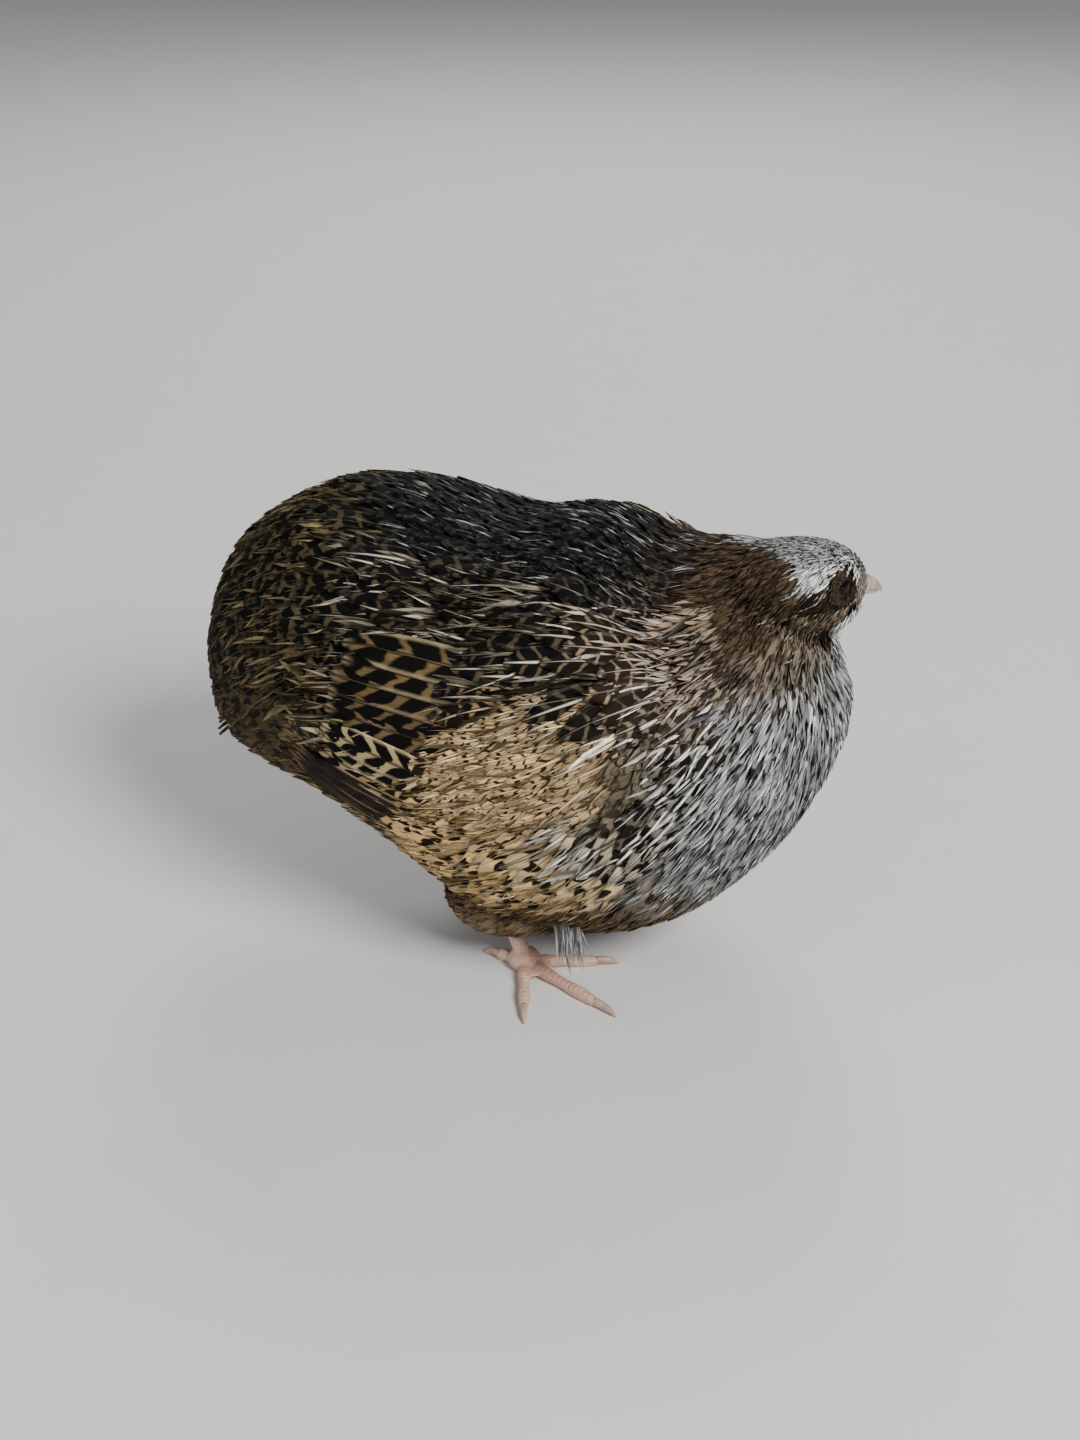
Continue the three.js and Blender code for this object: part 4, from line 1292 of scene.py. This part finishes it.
# How much neighbouring kinds blend, how much painted shade darkens the plumage towards the tail,
# how strongly it is mottled, how widely ways swing in degrees, and how much shorter strands are on the face.
SOFT_EDGES, PAINTED_SHADE_BEHIND, MOTTLING, SWING, SHORT_ON_FACE = 0.6, 0.45, 0.16, 18, 0.6
# How far a strand's brightness may change by blending, and the darkest a colour may become.
STRAND_BLENDING, DARKEST = (-0.7, 2), 0.001
# How high loose strands lie over the flight feathers' roots.
OVER_FLIGHT = 2.4


def painted_shade_behind(points):
    """Painted shade that darkens the plumage towards the tail."""
    # Painted shade: the colours grow darker towards the tail and above the belly.
    behind = smooth(-points[:, 0], 5, 45) * smooth(points[:, 2], 40, 60)
    return (1 - PAINTED_SHADE_BEHIND * behind)[:, None]


def mottled(points):
    """Lighter and darker clumps of feathers, as ruffled plumage has them."""
    x, y, z = points.T
    clump = np.sin(0.9 * x + 2 * np.sin(0.37 * z)) + np.sin(0.8 * z - 0.5 * y + 2 * np.sin(0.41 * x))
    return (1 + MOTTLING * clump * (1 - head_share(points)))[:, None]


def grown(key, count, seed):
    """Roots, ways and kinds all over the bird, but for the eyes and the bill."""
    rng = np.random.default_rng(seed)
    roots = scatter(count, seed, key)
    normals = nearest(roots)[1]
    ways = lie(roots, normals)
    kind = kinds_shown(roots, ways, rng.random(len(roots)))
    swing = np.radians(SWING * off_middle(rng, len(roots)))[:, None]
    ways = ways * np.cos(swing) + np.cross(normals, ways) * np.sin(swing)
    f, left, up = head_places(roots).T
    from_eye = np.hypot(f - EYE_SHOWN[0], up - EYE_SHOWN[1])
    wide, high = BILL_ROOM["half"]
    from_bill = np.hypot(left / wide, (up - BILL_LINE - BILL_ROOM["up"]) / high)
    on_eye = (from_eye < TIGHT_AT_EYE) & (np.abs(left) > SIDE_BY_EYE)
    keep = ~on_eye & ~((from_bill < 1) & (f > BILL_ROOM["from"]))
    return roots[keep], ways[keep], kind[keep], rng


def clear_of_eye(roots, ways, lengths):
    """Lengths at which feathers in front of the eye stop short of it."""
    f, left, up = head_places(roots).T
    along = ways @ HEAD_AXES.T
    x, z = f - EYE_SHOWN[0], up - EYE_SHOWN[1]
    pull = x * along[:, 0] + z * along[:, 2]
    flat = along[:, 0] ** 2 + along[:, 2] ** 2
    inside = pull**2 - flat * (x**2 + z**2 - CLEAR_EYE**2)
    stop = (-pull - np.sqrt(np.maximum(inside, 0))) / np.maximum(flat, 0.01)
    crosses = (inside > 0) & (stop > 0) & (np.abs(left) > SIDE_BY_EYE)
    return np.where(crosses, np.minimum(lengths, np.maximum(stop, SHORTEST)), lengths)


def round_eye(points):
    """1 at the rims of the eyes, falling to 0 a few millimetres from them."""
    f, left, up = head_places(points).T
    away = np.hypot(f - EYE_SHOWN[0], up - EYE_SHOWN[1])
    return smooth(-away, -4.5, -2.4) * (np.abs(left) > SIDE_BY_EYE)


def under_flight(points):
    """1 where the flight feathers lie over the plumage."""
    x, angle = points[:, 0], angle_round(points)
    along = smooth(-x, 4, 10) * smooth(x, -46, -40)
    return along * smooth(angle, 60, 66) * smooth(-angle, -124, -117)


def blend_colours(looks, roots, kind, are_strands):
    """Blends the colours of neighbouring kinds but on the head, darkens them towards the tail with painted
    shade, and mottles them.
    """
    share = SOFT_EDGES * (1 - head_share(roots))[:, None]
    step = {key: at_face(soft_colours[key], roots) - of_kind(kind, key) for key in COLOURS}
    lighter = step["ground"].mean(axis=1) / of_kind(kind, "ground").mean(axis=1)
    for key in COLOURS:
        if are_strands:
            looks[key] = looks[key] * (1 + np.clip(lighter, *STRAND_BLENDING)[:, None] * share)
        else:
            looks[key] = np.maximum(looks[key] + step[key] * share, DARKEST)
        # Painted shade towards the tail, then the mottling.
        looks[key] = looks[key] * painted_shade_behind(roots) * mottled(roots)


def looks_at(roots, ways, kind, rng, are_strands):
    """The looks of feathers or strands, fitted to their places on the bird."""
    looks = strand_looks(kind, rng) if are_strands else looks_of(kind, rng)
    if are_strands:
        on_face = smooth(head_places(roots)[:, 0], 1, 6) * head_share(roots)
        looks["length"] *= 1 - SHORT_ON_FACE * on_face
    looks["length"] = clear_of_eye(roots, ways, looks["length"])
    blend_colours(looks, roots, kind, are_strands)
    over = under_flight(roots)
    looks["rise"] *= 1 - over
    if are_strands:
        looks["rise"] += OVER_FLIGHT * over * smooth(-angle_round(roots), -88, -80)
    shallow = 1 - SHALLOW_BY_EYE * round_eye(roots)
    looks["depth"] = at_face(skin_depth, roots) * ROOT_DEPTH * shallow
    return looks


def coat():
    """The feathers of each group and side of the bird, and the loose strands over them."""
    share = 1
    feathers = grown("apart", int(FEATHER_TRIES * share), SEED)
    strands = grown("strands_apart", int(STRAND_TRIES * share), SEED + 1)
    finishes = {}
    for number, (name, (slot, rows, columns, kinds)) in enumerate(GROUPS.items()):
        if slot not in finishes:
            finishes[slot] = feather_material(slot)
        vane_grid = {"rows": rows, "columns": columns}
        chosen_kinds = [KIND_NAMES.index(key) for key in kinds.split()]
        layers = (("feathers", feathers, vane_grid, 5), ("strands", strands, STRAND_GRID, 105))
        for layer, (roots, ways, kind, rng), grid, first_seed in layers:
            chosen = np.isin(kind, chosen_kinds)
            for side_name, side in SIDES.items():
                own = chosen & (roots[:, 1] * side >= 0)
                looks = looks_at(roots[own], ways[own], kind[own], rng, layer == "strands")
                seed = first_seed + 10 * number + side
                title = f"{name}_{layer}_{side_name}"
                item = make_feathers(title, roots[own], ways[own], looks, seed, **grid)
                finished(item, finishes[slot], slot)


coat()


# Flight and tail feathers in their tiers. Each row gives how many, the first and the last root as
# a place along X and an angle from the back, and how far the tips lie from the roots.
WING_ROWS = [
    {
        "kind": "primary", "count": 9, "first": (-4, 94), "last": (-12, 117),
        "reach": (-35, 4), "size": (37, 6.5),
    },
    {
        "kind": "ladder", "count": 3, "first": (-3, 84), "last": (-5, 91),
        "reach": (-29, 1), "size": (30, 7),
    },
    {
        "kind": "tertial", "count": 6, "first": (5, 57), "last": (0, 80),
        "reach": (-31, 5), "size": (32, 8),
    },
]
# Flight and tail feathers are hardly ragged. Those of the wing bend a little downwards, each rises a
# little less than the one before it in its row, and they lift soon after their roots.
FLIGHT_JAG, FLIGHT_BEND, FLIGHT_STEP, FLIGHT_LEAD = 0.03, 0.6, 0.9, 3


def flight_feathers(name, side, material):
    """The flight feathers of one folded wing, row by row."""
    rng = np.random.default_rng(SEED + 40 + side)
    roots, tips, looks = [], [], []
    for row in WING_ROWS:
        t = np.linspace(0, 1, row["count"])
        x = row["first"][0] + (row["last"][0] - row["first"][0]) * t + rng.random(len(t)) - 0.5
        angle = row["first"][1] + (row["last"][1] - row["first"][1]) * t
        roots.append(on_trunk(x, angle, side))
        tips.append(on_trunk(x + row["reach"][0], angle + row["reach"][1], side))
        kind = np.full(len(t), KIND_NAMES.index(row["kind"]))
        own = looks_of(kind, rng)
        own["length"] = row["size"][0] * (1 + 0.06 * off_middle(rng, len(t)))
        own["width"] = np.full(len(t), float(row["size"][1]))
        own["rise"] = of_kind(kind, "rise") - FLIGHT_STEP * t
        own["jagged"] = np.full(len(t), FLIGHT_JAG)
        own["bend"] = np.full(len(t), FLIGHT_BEND * side)
        looks.append(own)
    roots, tips = np.concatenate(roots), np.concatenate(tips)
    looks = {key: np.concatenate([own[key] for own in looks]) for key in looks[0]}
    # Painted shade towards the tail, as on the rest of the plumage.
    for key in COLOURS:
        looks[key] = looks[key] * painted_shade_behind(roots)
    ways = unit(tips - roots)
    settings = {"lead": FLIGHT_LEAD, "outline": FLIGHT_VANE, **FLIGHT_GRID}
    item = make_feathers(name, roots, ways, looks, 60 + side, **settings)
    finished(item, material, "wing_plumage")


# The tail: "step" is how much lower the outer roots lie, "shade" darkens the colours as painted shade at the
# rear.
TAIL = {
    "root": (-54, 0, 58), "count": 10, "spread": 56, "length": 27, "width": 9, "drop": 38,
    "step": 3, "shade": 0.8,
}


def tail_feathers(material):
    """The short tail: a fan that droops below its coverts, the middle feathers on top."""
    rng = np.random.default_rng(SEED + 50)
    count = TAIL["count"]
    t = np.linspace(-0.5, 0.5, count)
    yaw, drop = np.radians(t * TAIL["spread"]), math.radians(TAIL["drop"])
    level, down = math.cos(drop), math.sin(drop)
    ways = np.stack([-np.cos(yaw) * level, np.sin(yaw) * level, 0 * yaw - down], axis=1)
    lift = np.array([-down, 0, level])
    roots = np.array(TAIL["root"]) - lift * np.abs(t)[:, None] * TAIL["step"]
    looks = looks_of(np.full(count, KIND_NAMES.index("rump")), rng)
    looks["length"] = np.full(count, float(TAIL["length"]))
    looks["width"] = np.full(count, float(TAIL["width"]))
    looks["depth"] = looks["rise"] = np.zeros(count)
    looks["jagged"] = np.full(count, FLIGHT_JAG)
    # Painted shade over the tail at the rear of the bird.
    for key in COLOURS:
        looks[key] = looks[key] * TAIL["shade"]
    out = np.tile(lift, (count, 1))
    item = make_feathers("tail_feathers", roots, ways, looks, 70, straight=out, **FLIGHT_GRID)
    finished(item, material, "back_plumage")


TUFT = {
    "root": (15, -29, 20.5), "count": 52, "spread": (2.6, 1.4, 1.0), "length": 10.5, "width": 1.2,
    "way": (0.12, -0.1, -1), "swing": 0.35, "out": (0.3, -0.95, 0.0), "shade": 0.6,
}


def tuft(material):
    """Loose feathers that hang from the belly in front of the right foot."""
    rng = np.random.default_rng(SEED + 80)
    count = TUFT["count"]
    roots = np.array(TUFT["root"]) + off_middle(rng, (count, 3)) * 2 * np.array(TUFT["spread"])
    ways = unit(np.array(TUFT["way"]) + TUFT["swing"] * off_middle(rng, (count, 3)))
    looks = strand_looks(np.full(count, KIND_NAMES.index("throat")), rng)
    for key in COLOURS:
        looks[key] = looks[key] * TUFT["shade"]
    looks["length"] = TUFT["length"] * (0.7 + 0.5 * rng.random(count))
    looks["width"] = TUFT["width"] * (0.6 + 0.8 * rng.random(count))
    looks["depth"] = looks["rise"] = np.zeros(count)
    out = np.tile(TUFT["out"], (count, 1))
    item = make_feathers("belly_tuft", roots, ways, looks, 80, straight=out, **STRAND_GRID)
    finished(item, material, "breast_plumage")


flight_material = feather_material("flight_feathers")
for side_name, side in SIDES.items():
    flight_feathers(f"flight_feathers_{side_name}", side, flight_material)
tail_feathers(flight_material)
tuft(flight_material)


# The skin lies under the plumage, by the depth of the coat.

def skin_material():
    material, start = new_material("skin")
    ground = start.node("ShaderNodeAttribute", {"attribute_name": "ground"}, {})
    down = noise(start, own_place(start), 900.0, 3.0)
    colour = (down * 0.7 + 0.3).colour_times(ground)
    close_material(start, colour, 0.85, down, 0.0003)
    return material


def make_skin():
    """The fused form, sunk by the depth of the coat and coloured like the feathers' roots, at half their
    brightness as painted shade.
    """
    share = of_kind(form_kind, "cover")[:, None]
    # The plumage colour halved: painted shade for the gaps between the feathers.
    colour = (of_kind(form_kind, "ground") * (1 - share) + of_kind(form_kind, "dark") * share) * 0.5
    set_places(body, form_places - normals_of(body) * skin_depth[:, None])
    colour_attribute(body.data, "ground", colour)
    to_metres(body)
    flesh = ["torso", "neck", "head", "tail", "wing_right", "wing_left", "thigh_right", "thigh_left"]
    finished(body, skin_material(), "head_plumage", *flesh)


make_skin()


# Eyes and lids

def eye_turn(side):
    """Turns +Z to look out of the eye and +X along the head."""
    forward, up = math.radians(EYE_FACES_FORWARD), math.radians(EYE_FACES_UP)
    out = Vector((math.sin(forward), side * math.cos(forward) * math.cos(up), math.sin(up))).normalized()
    along = Vector((0, 0, 1)).cross(out).normalized()
    up = out.cross(along)
    return head_turn @ Matrix((along, up, out)).transposed()


def place_at_eye(item, side):
    centre = Vector(in_head(EYE_PLACE[0], side * EYE_PLACE[1], EYE_PLACE[2]))
    item.data.transform(Matrix.Translation(centre) @ eye_turn(side).to_4x4())
    to_metres(item)


# Where the pupil and the iris begin on the eyeball, from its back to its front.
PUPIL_FROM, IRIS_FROM = (0.86, 0.875), (0.70, 0.74)


def eye_material():
    """A dark brown iris round the pupil, under a wet surface. V is 1 in the middle of the pupil."""
    material, start = new_material("eye")
    u, v = uv_place(start, "UVMap")
    fibres = noise(start, vector_of(start, u * 60, v * 4, 0.0), 1.0, 2.0)
    iris = (fibres * 0.9 + 0.4).colour_times((*paint(26, 16, 10), 1))
    colour = v.step(*PUPIL_FROM).mix(iris, (0.003, 0.002, 0.002, 1))
    colour = v.step(*IRIS_FROM).mix((*paint(26, 17, 12), 1), colour)
    close_material(start, colour, 0.1, fibres, 0.0000005, Specular_IOR_Level=0.12)
    return material


def eyelid_material():
    material, start = new_material("eyelid")
    scales = beads(start, own_place(start), 2600.0)
    colour = (scales * 0.5 + 0.6).colour_times((*paint(58, 46, 36), 1))
    close_material(start, colour, 0.6, scales, 0.00006)
    return material


def lid_shell():
    """A thin shell over the front of the eyeball, with a round opening."""
    shell = sphere(64, 48, EYE_RADIUS + LID_STAND)
    places = places_of(shell)
    drop = (places[:, 2] < LID_BACK) | (np.hypot(places[:, 0], places[:, 1]) < LID_OPENING[1])
    bpy.ops.object.mode_set(mode="EDIT")
    bpy.ops.mesh.select_mode(type="VERT")
    bpy.ops.mesh.select_all(action="DESELECT")
    bpy.ops.object.mode_set(mode="OBJECT")
    shell.data.vertices.foreach_set("select", drop)
    bpy.ops.object.mode_set(mode="EDIT")
    bpy.ops.mesh.delete(type="VERT")
    bpy.ops.object.mode_set(mode="OBJECT")
    apply_modifier(shell, "SOLIDIFY", thickness=LID_THICKNESS, offset=-1)
    return shell


def lid_rim():
    """The rounded rim of the lids, lying on the eyeball."""
    wide, high = LID_OPENING
    deselect()
    bpy.ops.mesh.primitive_torus_add(
        major_segments=56, minor_segments=14, major_radius=1, minor_radius=LID_THICKNESS / wide
    )
    rim = bpy.context.object
    places = places_of(rim) * wide
    places[:, 1] *= high / wide
    away = np.hypot(places[:, 0], places[:, 1])
    places[:, 2] += np.sqrt((EYE_RADIUS + LID_RIM_STAND) ** 2 - away**2)
    set_places(rim, places)
    return rim


def make_eye(side_name, side):
    ball = sphere(48, 32, EYE_RADIUS)
    ball.name = ball.data.name = f"eyeball_{side_name}"
    places = places_of(ball)
    places[:, 2] += CORNEA_SWELL * smooth(places[:, 2], EYE_RADIUS * CORNEA_FROM, EYE_RADIUS)
    set_places(ball, places)
    place_at_eye(ball, side)
    finished(ball, eye_finish, "eye_gloss", f"eye_{side_name}")
    lids = joined(f"eyelids_{side_name}", [lid_shell(), lid_rim()])
    place_at_eye(lids, side)
    finished(lids, lid_finish, "head_plumage")


eye_finish, lid_finish = eye_material(), eyelid_material()
for side_name, side in SIDES.items():
    make_eye(side_name, side)


# Bill

def horn_material(name, colour, worn_colour, scale):
    """Horn with fine grain, darker where it is worn."""
    material, start = new_material(name)
    place = own_place(start)
    cloud = noise(start, place, 260.0, 3.0)
    grain = noise(start, place, scale, 2.0)
    base = cloud.step(0.35, 0.7).mix((*colour, 1), (*worn_colour, 1))
    colour = (grain * 0.3 + 0.85).colour_times(base)
    close_material(start, colour, 0.42, grain, 0.00008, Coat_Weight=0.15, Coat_Roughness=0.3)
    return material


# The two parts of the bill: the way each arches, its height and its length.
BILL_PARTS = {
    "bill_upper": {"way": 1, "height": BILL_UPPER_HEIGHT, "length": BILL_LENGTH},
    "bill_lower": {"way": -1, "height": BILL_LOWER_HEIGHT, "length": BILL_LENGTH * BILL_LOWER_REACH},
}
# How far the parts stand off the mouth line, how thick their inner sides are as a share, how wide
# the ridge is and how much the edges are rounded.
BILL_GAP, BILL_INNER, RIDGE_WIDTH, BILL_ROUNDING = 0.1, 0.12, 0.7, 0.12


def make_bill(name, part, material):
    """One part of the bill, drawn out from root to tip, and its nostrils if it is the upper one."""
    way, upper = part["way"], part["way"] > 0
    t = np.concatenate([np.linspace(0, 0.8, 12), np.linspace(0.85, 1, 6)])
    f = BILL_START - BILL_ROOT + (BILL_ROOT + part["length"]) * t
    narrow = np.sqrt(np.clip(1 - 0.96 * t**1.8, 0.02, 1))
    wide, high = BILL_HALF_WIDTH * narrow, part["height"] * narrow
    hook = BILL_HOOK * smooth(t, 0.8, 1) if upper else 0
    line = BILL_LINE - BILL_BEND * t**2 + way * BILL_GAP - hook
    bill = drawn_out(name, [(f[i], 0, 0, wide[i], high[i]) for i in range(len(t))], 28)
    places = places_of(bill)
    i = np.argmin(np.abs(places[:, 0][:, None] - f[None, :]), axis=1)
    inner = places[:, 2] * way < 0
    places[inner, 2] *= BILL_INNER
    on_ridge = np.exp(-((places[:, 1] / RIDGE_WIDTH) ** 2)) * ~inner
    ridge = on_ridge * BILL_RIDGE * (1 - t[i]) if upper else 0
    places[:, 2] += line[i] + ridge
    set_places(bill, places)
    if upper:
        forward, out, up = NOSTRIL["at"]
        for side in SIDES.values():
            place = (BILL_START + forward, side * out, BILL_LINE + up)
            hole = sphere(20, 12, NOSTRIL["radius"], place, stretch=NOSTRIL["stretch"])
            apply_modifier(bill, "BOOLEAN", operation="DIFFERENCE", object=hole, solver="EXACT")
            bpy.data.objects.remove(hole)
    rounding = {"width": BILL_ROUNDING, "segments": 2, "limit_method": "ANGLE"}
    apply_modifier(bill, "BEVEL", angle_limit=math.radians(50), **rounding)
    set_places(bill, HEAD_MIDDLE + places_of(bill) @ HEAD_AXES)
    to_metres(bill)
    finished(bill, material, "bill_horn", name)
    pick(bill)
    bpy.ops.object.shade_smooth_by_angle(angle=math.radians(40))


bill_finish = horn_material("bill_horn", paint(196, 172, 160), paint(150, 128, 116), 900.0)
for bill_name, bill_part in BILL_PARTS.items():
    make_bill(bill_name, bill_part, bill_finish)


# Legs and feet

def turned(item, turn, place):
    item.data.transform(Matrix.Translation(Vector(place)) @ turn.to_4x4())
    return item


def toe_turn(foot, toe):
    return Matrix.Rotation(math.radians(foot["turn"] + toe["angle"] * foot["side"]), 3, "Z")


def toe_form(foot, toe):
    """A toe along the ground, with its knuckles."""
    t = np.linspace(0, 1, 22)
    x = FOOT_PAD * TOE_START + toe["length"] * t
    radius = TOE_RADIUS * (1 - TOE_TAPER * t) - TOE_KNUCKLES * np.cos(t * math.pi * 4)
    radius[-1] *= 0.75
    height = TOE_RADIUS - FLOOR_SINK + TOE_RISE * (1 - t)
    rings = [(x[i], 0, height[i], radius[i], radius[i]) for i in range(len(t))]
    return turned(drawn_out("toe_form", rings, 20), toe_turn(foot, toe), (*foot["at"], 0))


def shank_form(foot):
    """The shank, leaning up into the plumage, a little deeper than wide."""
    t = np.linspace(0, 1, 24)
    x = (SHANK_LENGTH + SHANK_BURIED) * t
    radius = np.interp(t, np.linspace(0, 1, len(SHANK_RADII)), SHANK_RADII)
    rings = [(x[i], 0, 0, radius[i] * 0.92, radius[i] * 1.06) for i in range(len(t))]
    turn = Vector(foot["lean"]).to_track_quat("X", "Y").to_matrix()
    return turned(drawn_out("shank_form", rings, 20), turn, (*foot["at"], FOOT_PAD * 0.8))


def pad_form(foot):
    place = (*foot["at"], FOOT_PAD * PAD_FLATNESS - FLOOR_SINK)
    return sphere(32, 20, FOOT_PAD, place, stretch=(1, 1, PAD_FLATNESS))


def web_form(foot, first, second):
    """The small web between the roots of two toes."""
    angle = math.radians(foot["turn"] + (TOES[first]["angle"] + TOES[second]["angle"]) / 2 * foot["side"])
    way = np.array([math.cos(angle), math.sin(angle), 0])
    place = np.array([*foot["at"], WEB["up"]]) + way * WEB["forward"]
    return sphere(20, 12, 1, place, stretch=WEB["radii"])


def scutes(places, normals, foot):
    """How far each place of the foot stands out under its overlapping scales."""
    out = np.zeros(len(places))
    base = np.array([*foot["at"], 0.0])
    length, edge = TOE_SCALE
    for toe in TOES.values():
        local = (places - base) @ np.array(toe_turn(foot, toe))
        on_toe = (np.abs(local[:, 1]) < TOE_RADIUS * 1.15) & (local[:, 0] > FOOT_PAD)
        on_toe &= local[:, 2] < TOE_SCALES_BELOW
        saw = (local[:, 0] / length) % 1
        out[on_toe] = (saw * edge * smooth(normals[:, 2], -0.1, 0.5))[on_toe]
    length, edge = SHANK_SCALE
    along = (places - base) @ np.array(Vector(foot["lean"]).normalized())
    front = smooth(normals[:, 0], -0.2, 0.4)
    on_shank = places[:, 2] > SHANK_SCALES_ABOVE
    out[on_shank] = ((1 - (along / length) % 1) * edge * front)[on_shank]
    return out


def leg_material():
    """Pale pink skin with fine creases between the scales."""
    material, start = new_material("leg_skin")
    place = own_place(start)
    cloud = noise(start, place, 180.0, 3.0)
    cells = beads(start, place, 1500.0)
    base = cloud.step(0.3, 0.7).mix((*paint(196, 148, 130), 1), (*paint(214, 178, 160), 1))
    colour = (cells * 0.3 + 0.8).colour_times(base)
    glow = {"Subsurface_Weight": 0.15, "Subsurface_Radius": (0.002, 0.0008, 0.0005)}
    close_material(start, colour, 0.55, cells, 0.00012, **glow)
    return material


def make_claw(side_name, foot, name, toe):
    t = np.linspace(0, 1, 12)
    x = FOOT_PAD * TOE_START + toe["length"] - CLAW_BURIED + (toe["claw"] + 0.8) * t
    radius = np.interp(t, [0, 0.5, 0.85, 1], CLAW_RADII)
    height = TOE_RADIUS - FLOOR_SINK + CLAW_ARCH * np.sin(math.pi * t) - CLAW_DROP * t**2
    rings = [(x[i], 0, height[i], radius[i] * 0.85, radius[i]) for i in range(len(t))]
    claw = drawn_out(f"nail_{name}_{side_name}", rings, 16)
    turned(claw, toe_turn(foot, toe), (*foot["at"], 0))
    places = places_of(claw)
    places[:, 2] = np.maximum(places[:, 2], 0.02)
    set_places(claw, places)
    to_metres(claw)
    finished(claw, claw_finish, "claw_horn", f"claw_{name}_{side_name}")


def make_foot(side_name, foot):
    """Shank, pad, toes and webs in one skin with scales, then the claws."""
    pieces = [toe_form(foot, toe) for toe in TOES.values()] + [shank_form(foot), pad_form(foot)]
    pieces += [web_form(foot, "inner", "middle"), web_form(foot, "middle", "outer")]
    leg = joined(f"foot_{side_name}", pieces)
    fuse(leg, FOOT_VOXEL, FOOT_SMOOTHING)
    places, normals = places_of(leg), normals_of(leg)
    places += normals * scutes(places, normals, foot)[:, None]
    places[:, 2] = np.maximum(places[:, 2], 0)
    set_places(leg, places)
    to_metres(leg)
    toes = [f"toe_{name}_{side_name}" for name in TOES]
    finished(leg, leg_finish, "leg_skin", f"tarsus_{side_name}", *toes)
    for name, toe in TOES.items():
        make_claw(side_name, foot, name, toe)


leg_finish = leg_material()
claw_finish = horn_material("claw_horn", paint(188, 158, 142), paint(150, 122, 104), 1200.0)
for side_name, foot in FEET.items():
    make_foot(side_name, foot)


# Floor, light and camera

def plain_material(name, colour, roughness):
    material, start = new_material(name)
    grain = noise(start, own_place(start), 60.0, 4.0)
    base = (grain * 0.04 + 0.96).colour_times((*colour, 1))
    close_material(start, base, roughness, grain, 0.0001)
    return material


deselect()
bpy.ops.mesh.primitive_plane_add(size=6, location=(0, 0, 0))
floor = bpy.context.object
floor.name = "floor"
floor.data.materials.append(plain_material("pale_floor", (0.72, 0.71, 0.69), 0.9))

world = bpy.data.worlds.new("studio")
bpy.context.scene.world = world
world.use_nodes = True
background = world.node_tree.nodes["Background"]
background.inputs["Color"].default_value = (0.92, 0.95, 1.0, 1)
background.inputs["Strength"].default_value = 0.27

# The place that the lights look at.
LIGHTS_FACE = Vector((0, 0, 0.06))


def soft_light(name, place, size, power):
    light = bpy.data.lights.new(name, "AREA")
    light.shape = "DISK"
    light.size = size
    light.energy = power
    lamp = bpy.data.objects.new(name, light)
    lamp.location = place
    lamp.rotation_euler = (LIGHTS_FACE - Vector(place)).to_track_quat("-Z", "Y").to_euler()
    bpy.context.scene.collection.objects.link(lamp)


soft_light("key_light", (0.75, -0.6, 0.8), 0.45, 19)
soft_light("fill_light", (-0.8, -0.7, 0.5), 0.9, 2.5)
soft_light("back_light", (-0.2, 0.9, 0.8), 0.5, 6)

camera_data = bpy.data.cameras.new("camera")
camera_data.lens = CAMERA_LENS
camera_data.sensor_width = CAMERA_SENSOR
camera_data.clip_start = 0.01
camera = bpy.data.objects.new("camera", camera_data)
camera.location = Vector((np.array(CAMERA_AT) + SHIFT) * MM)
camera.rotation_euler = Euler((math.radians(CAMERA_DOWN), 0, math.radians(CAMERA_ROUND)))
bpy.context.scene.collection.objects.link(camera)
bpy.context.scene.camera = camera
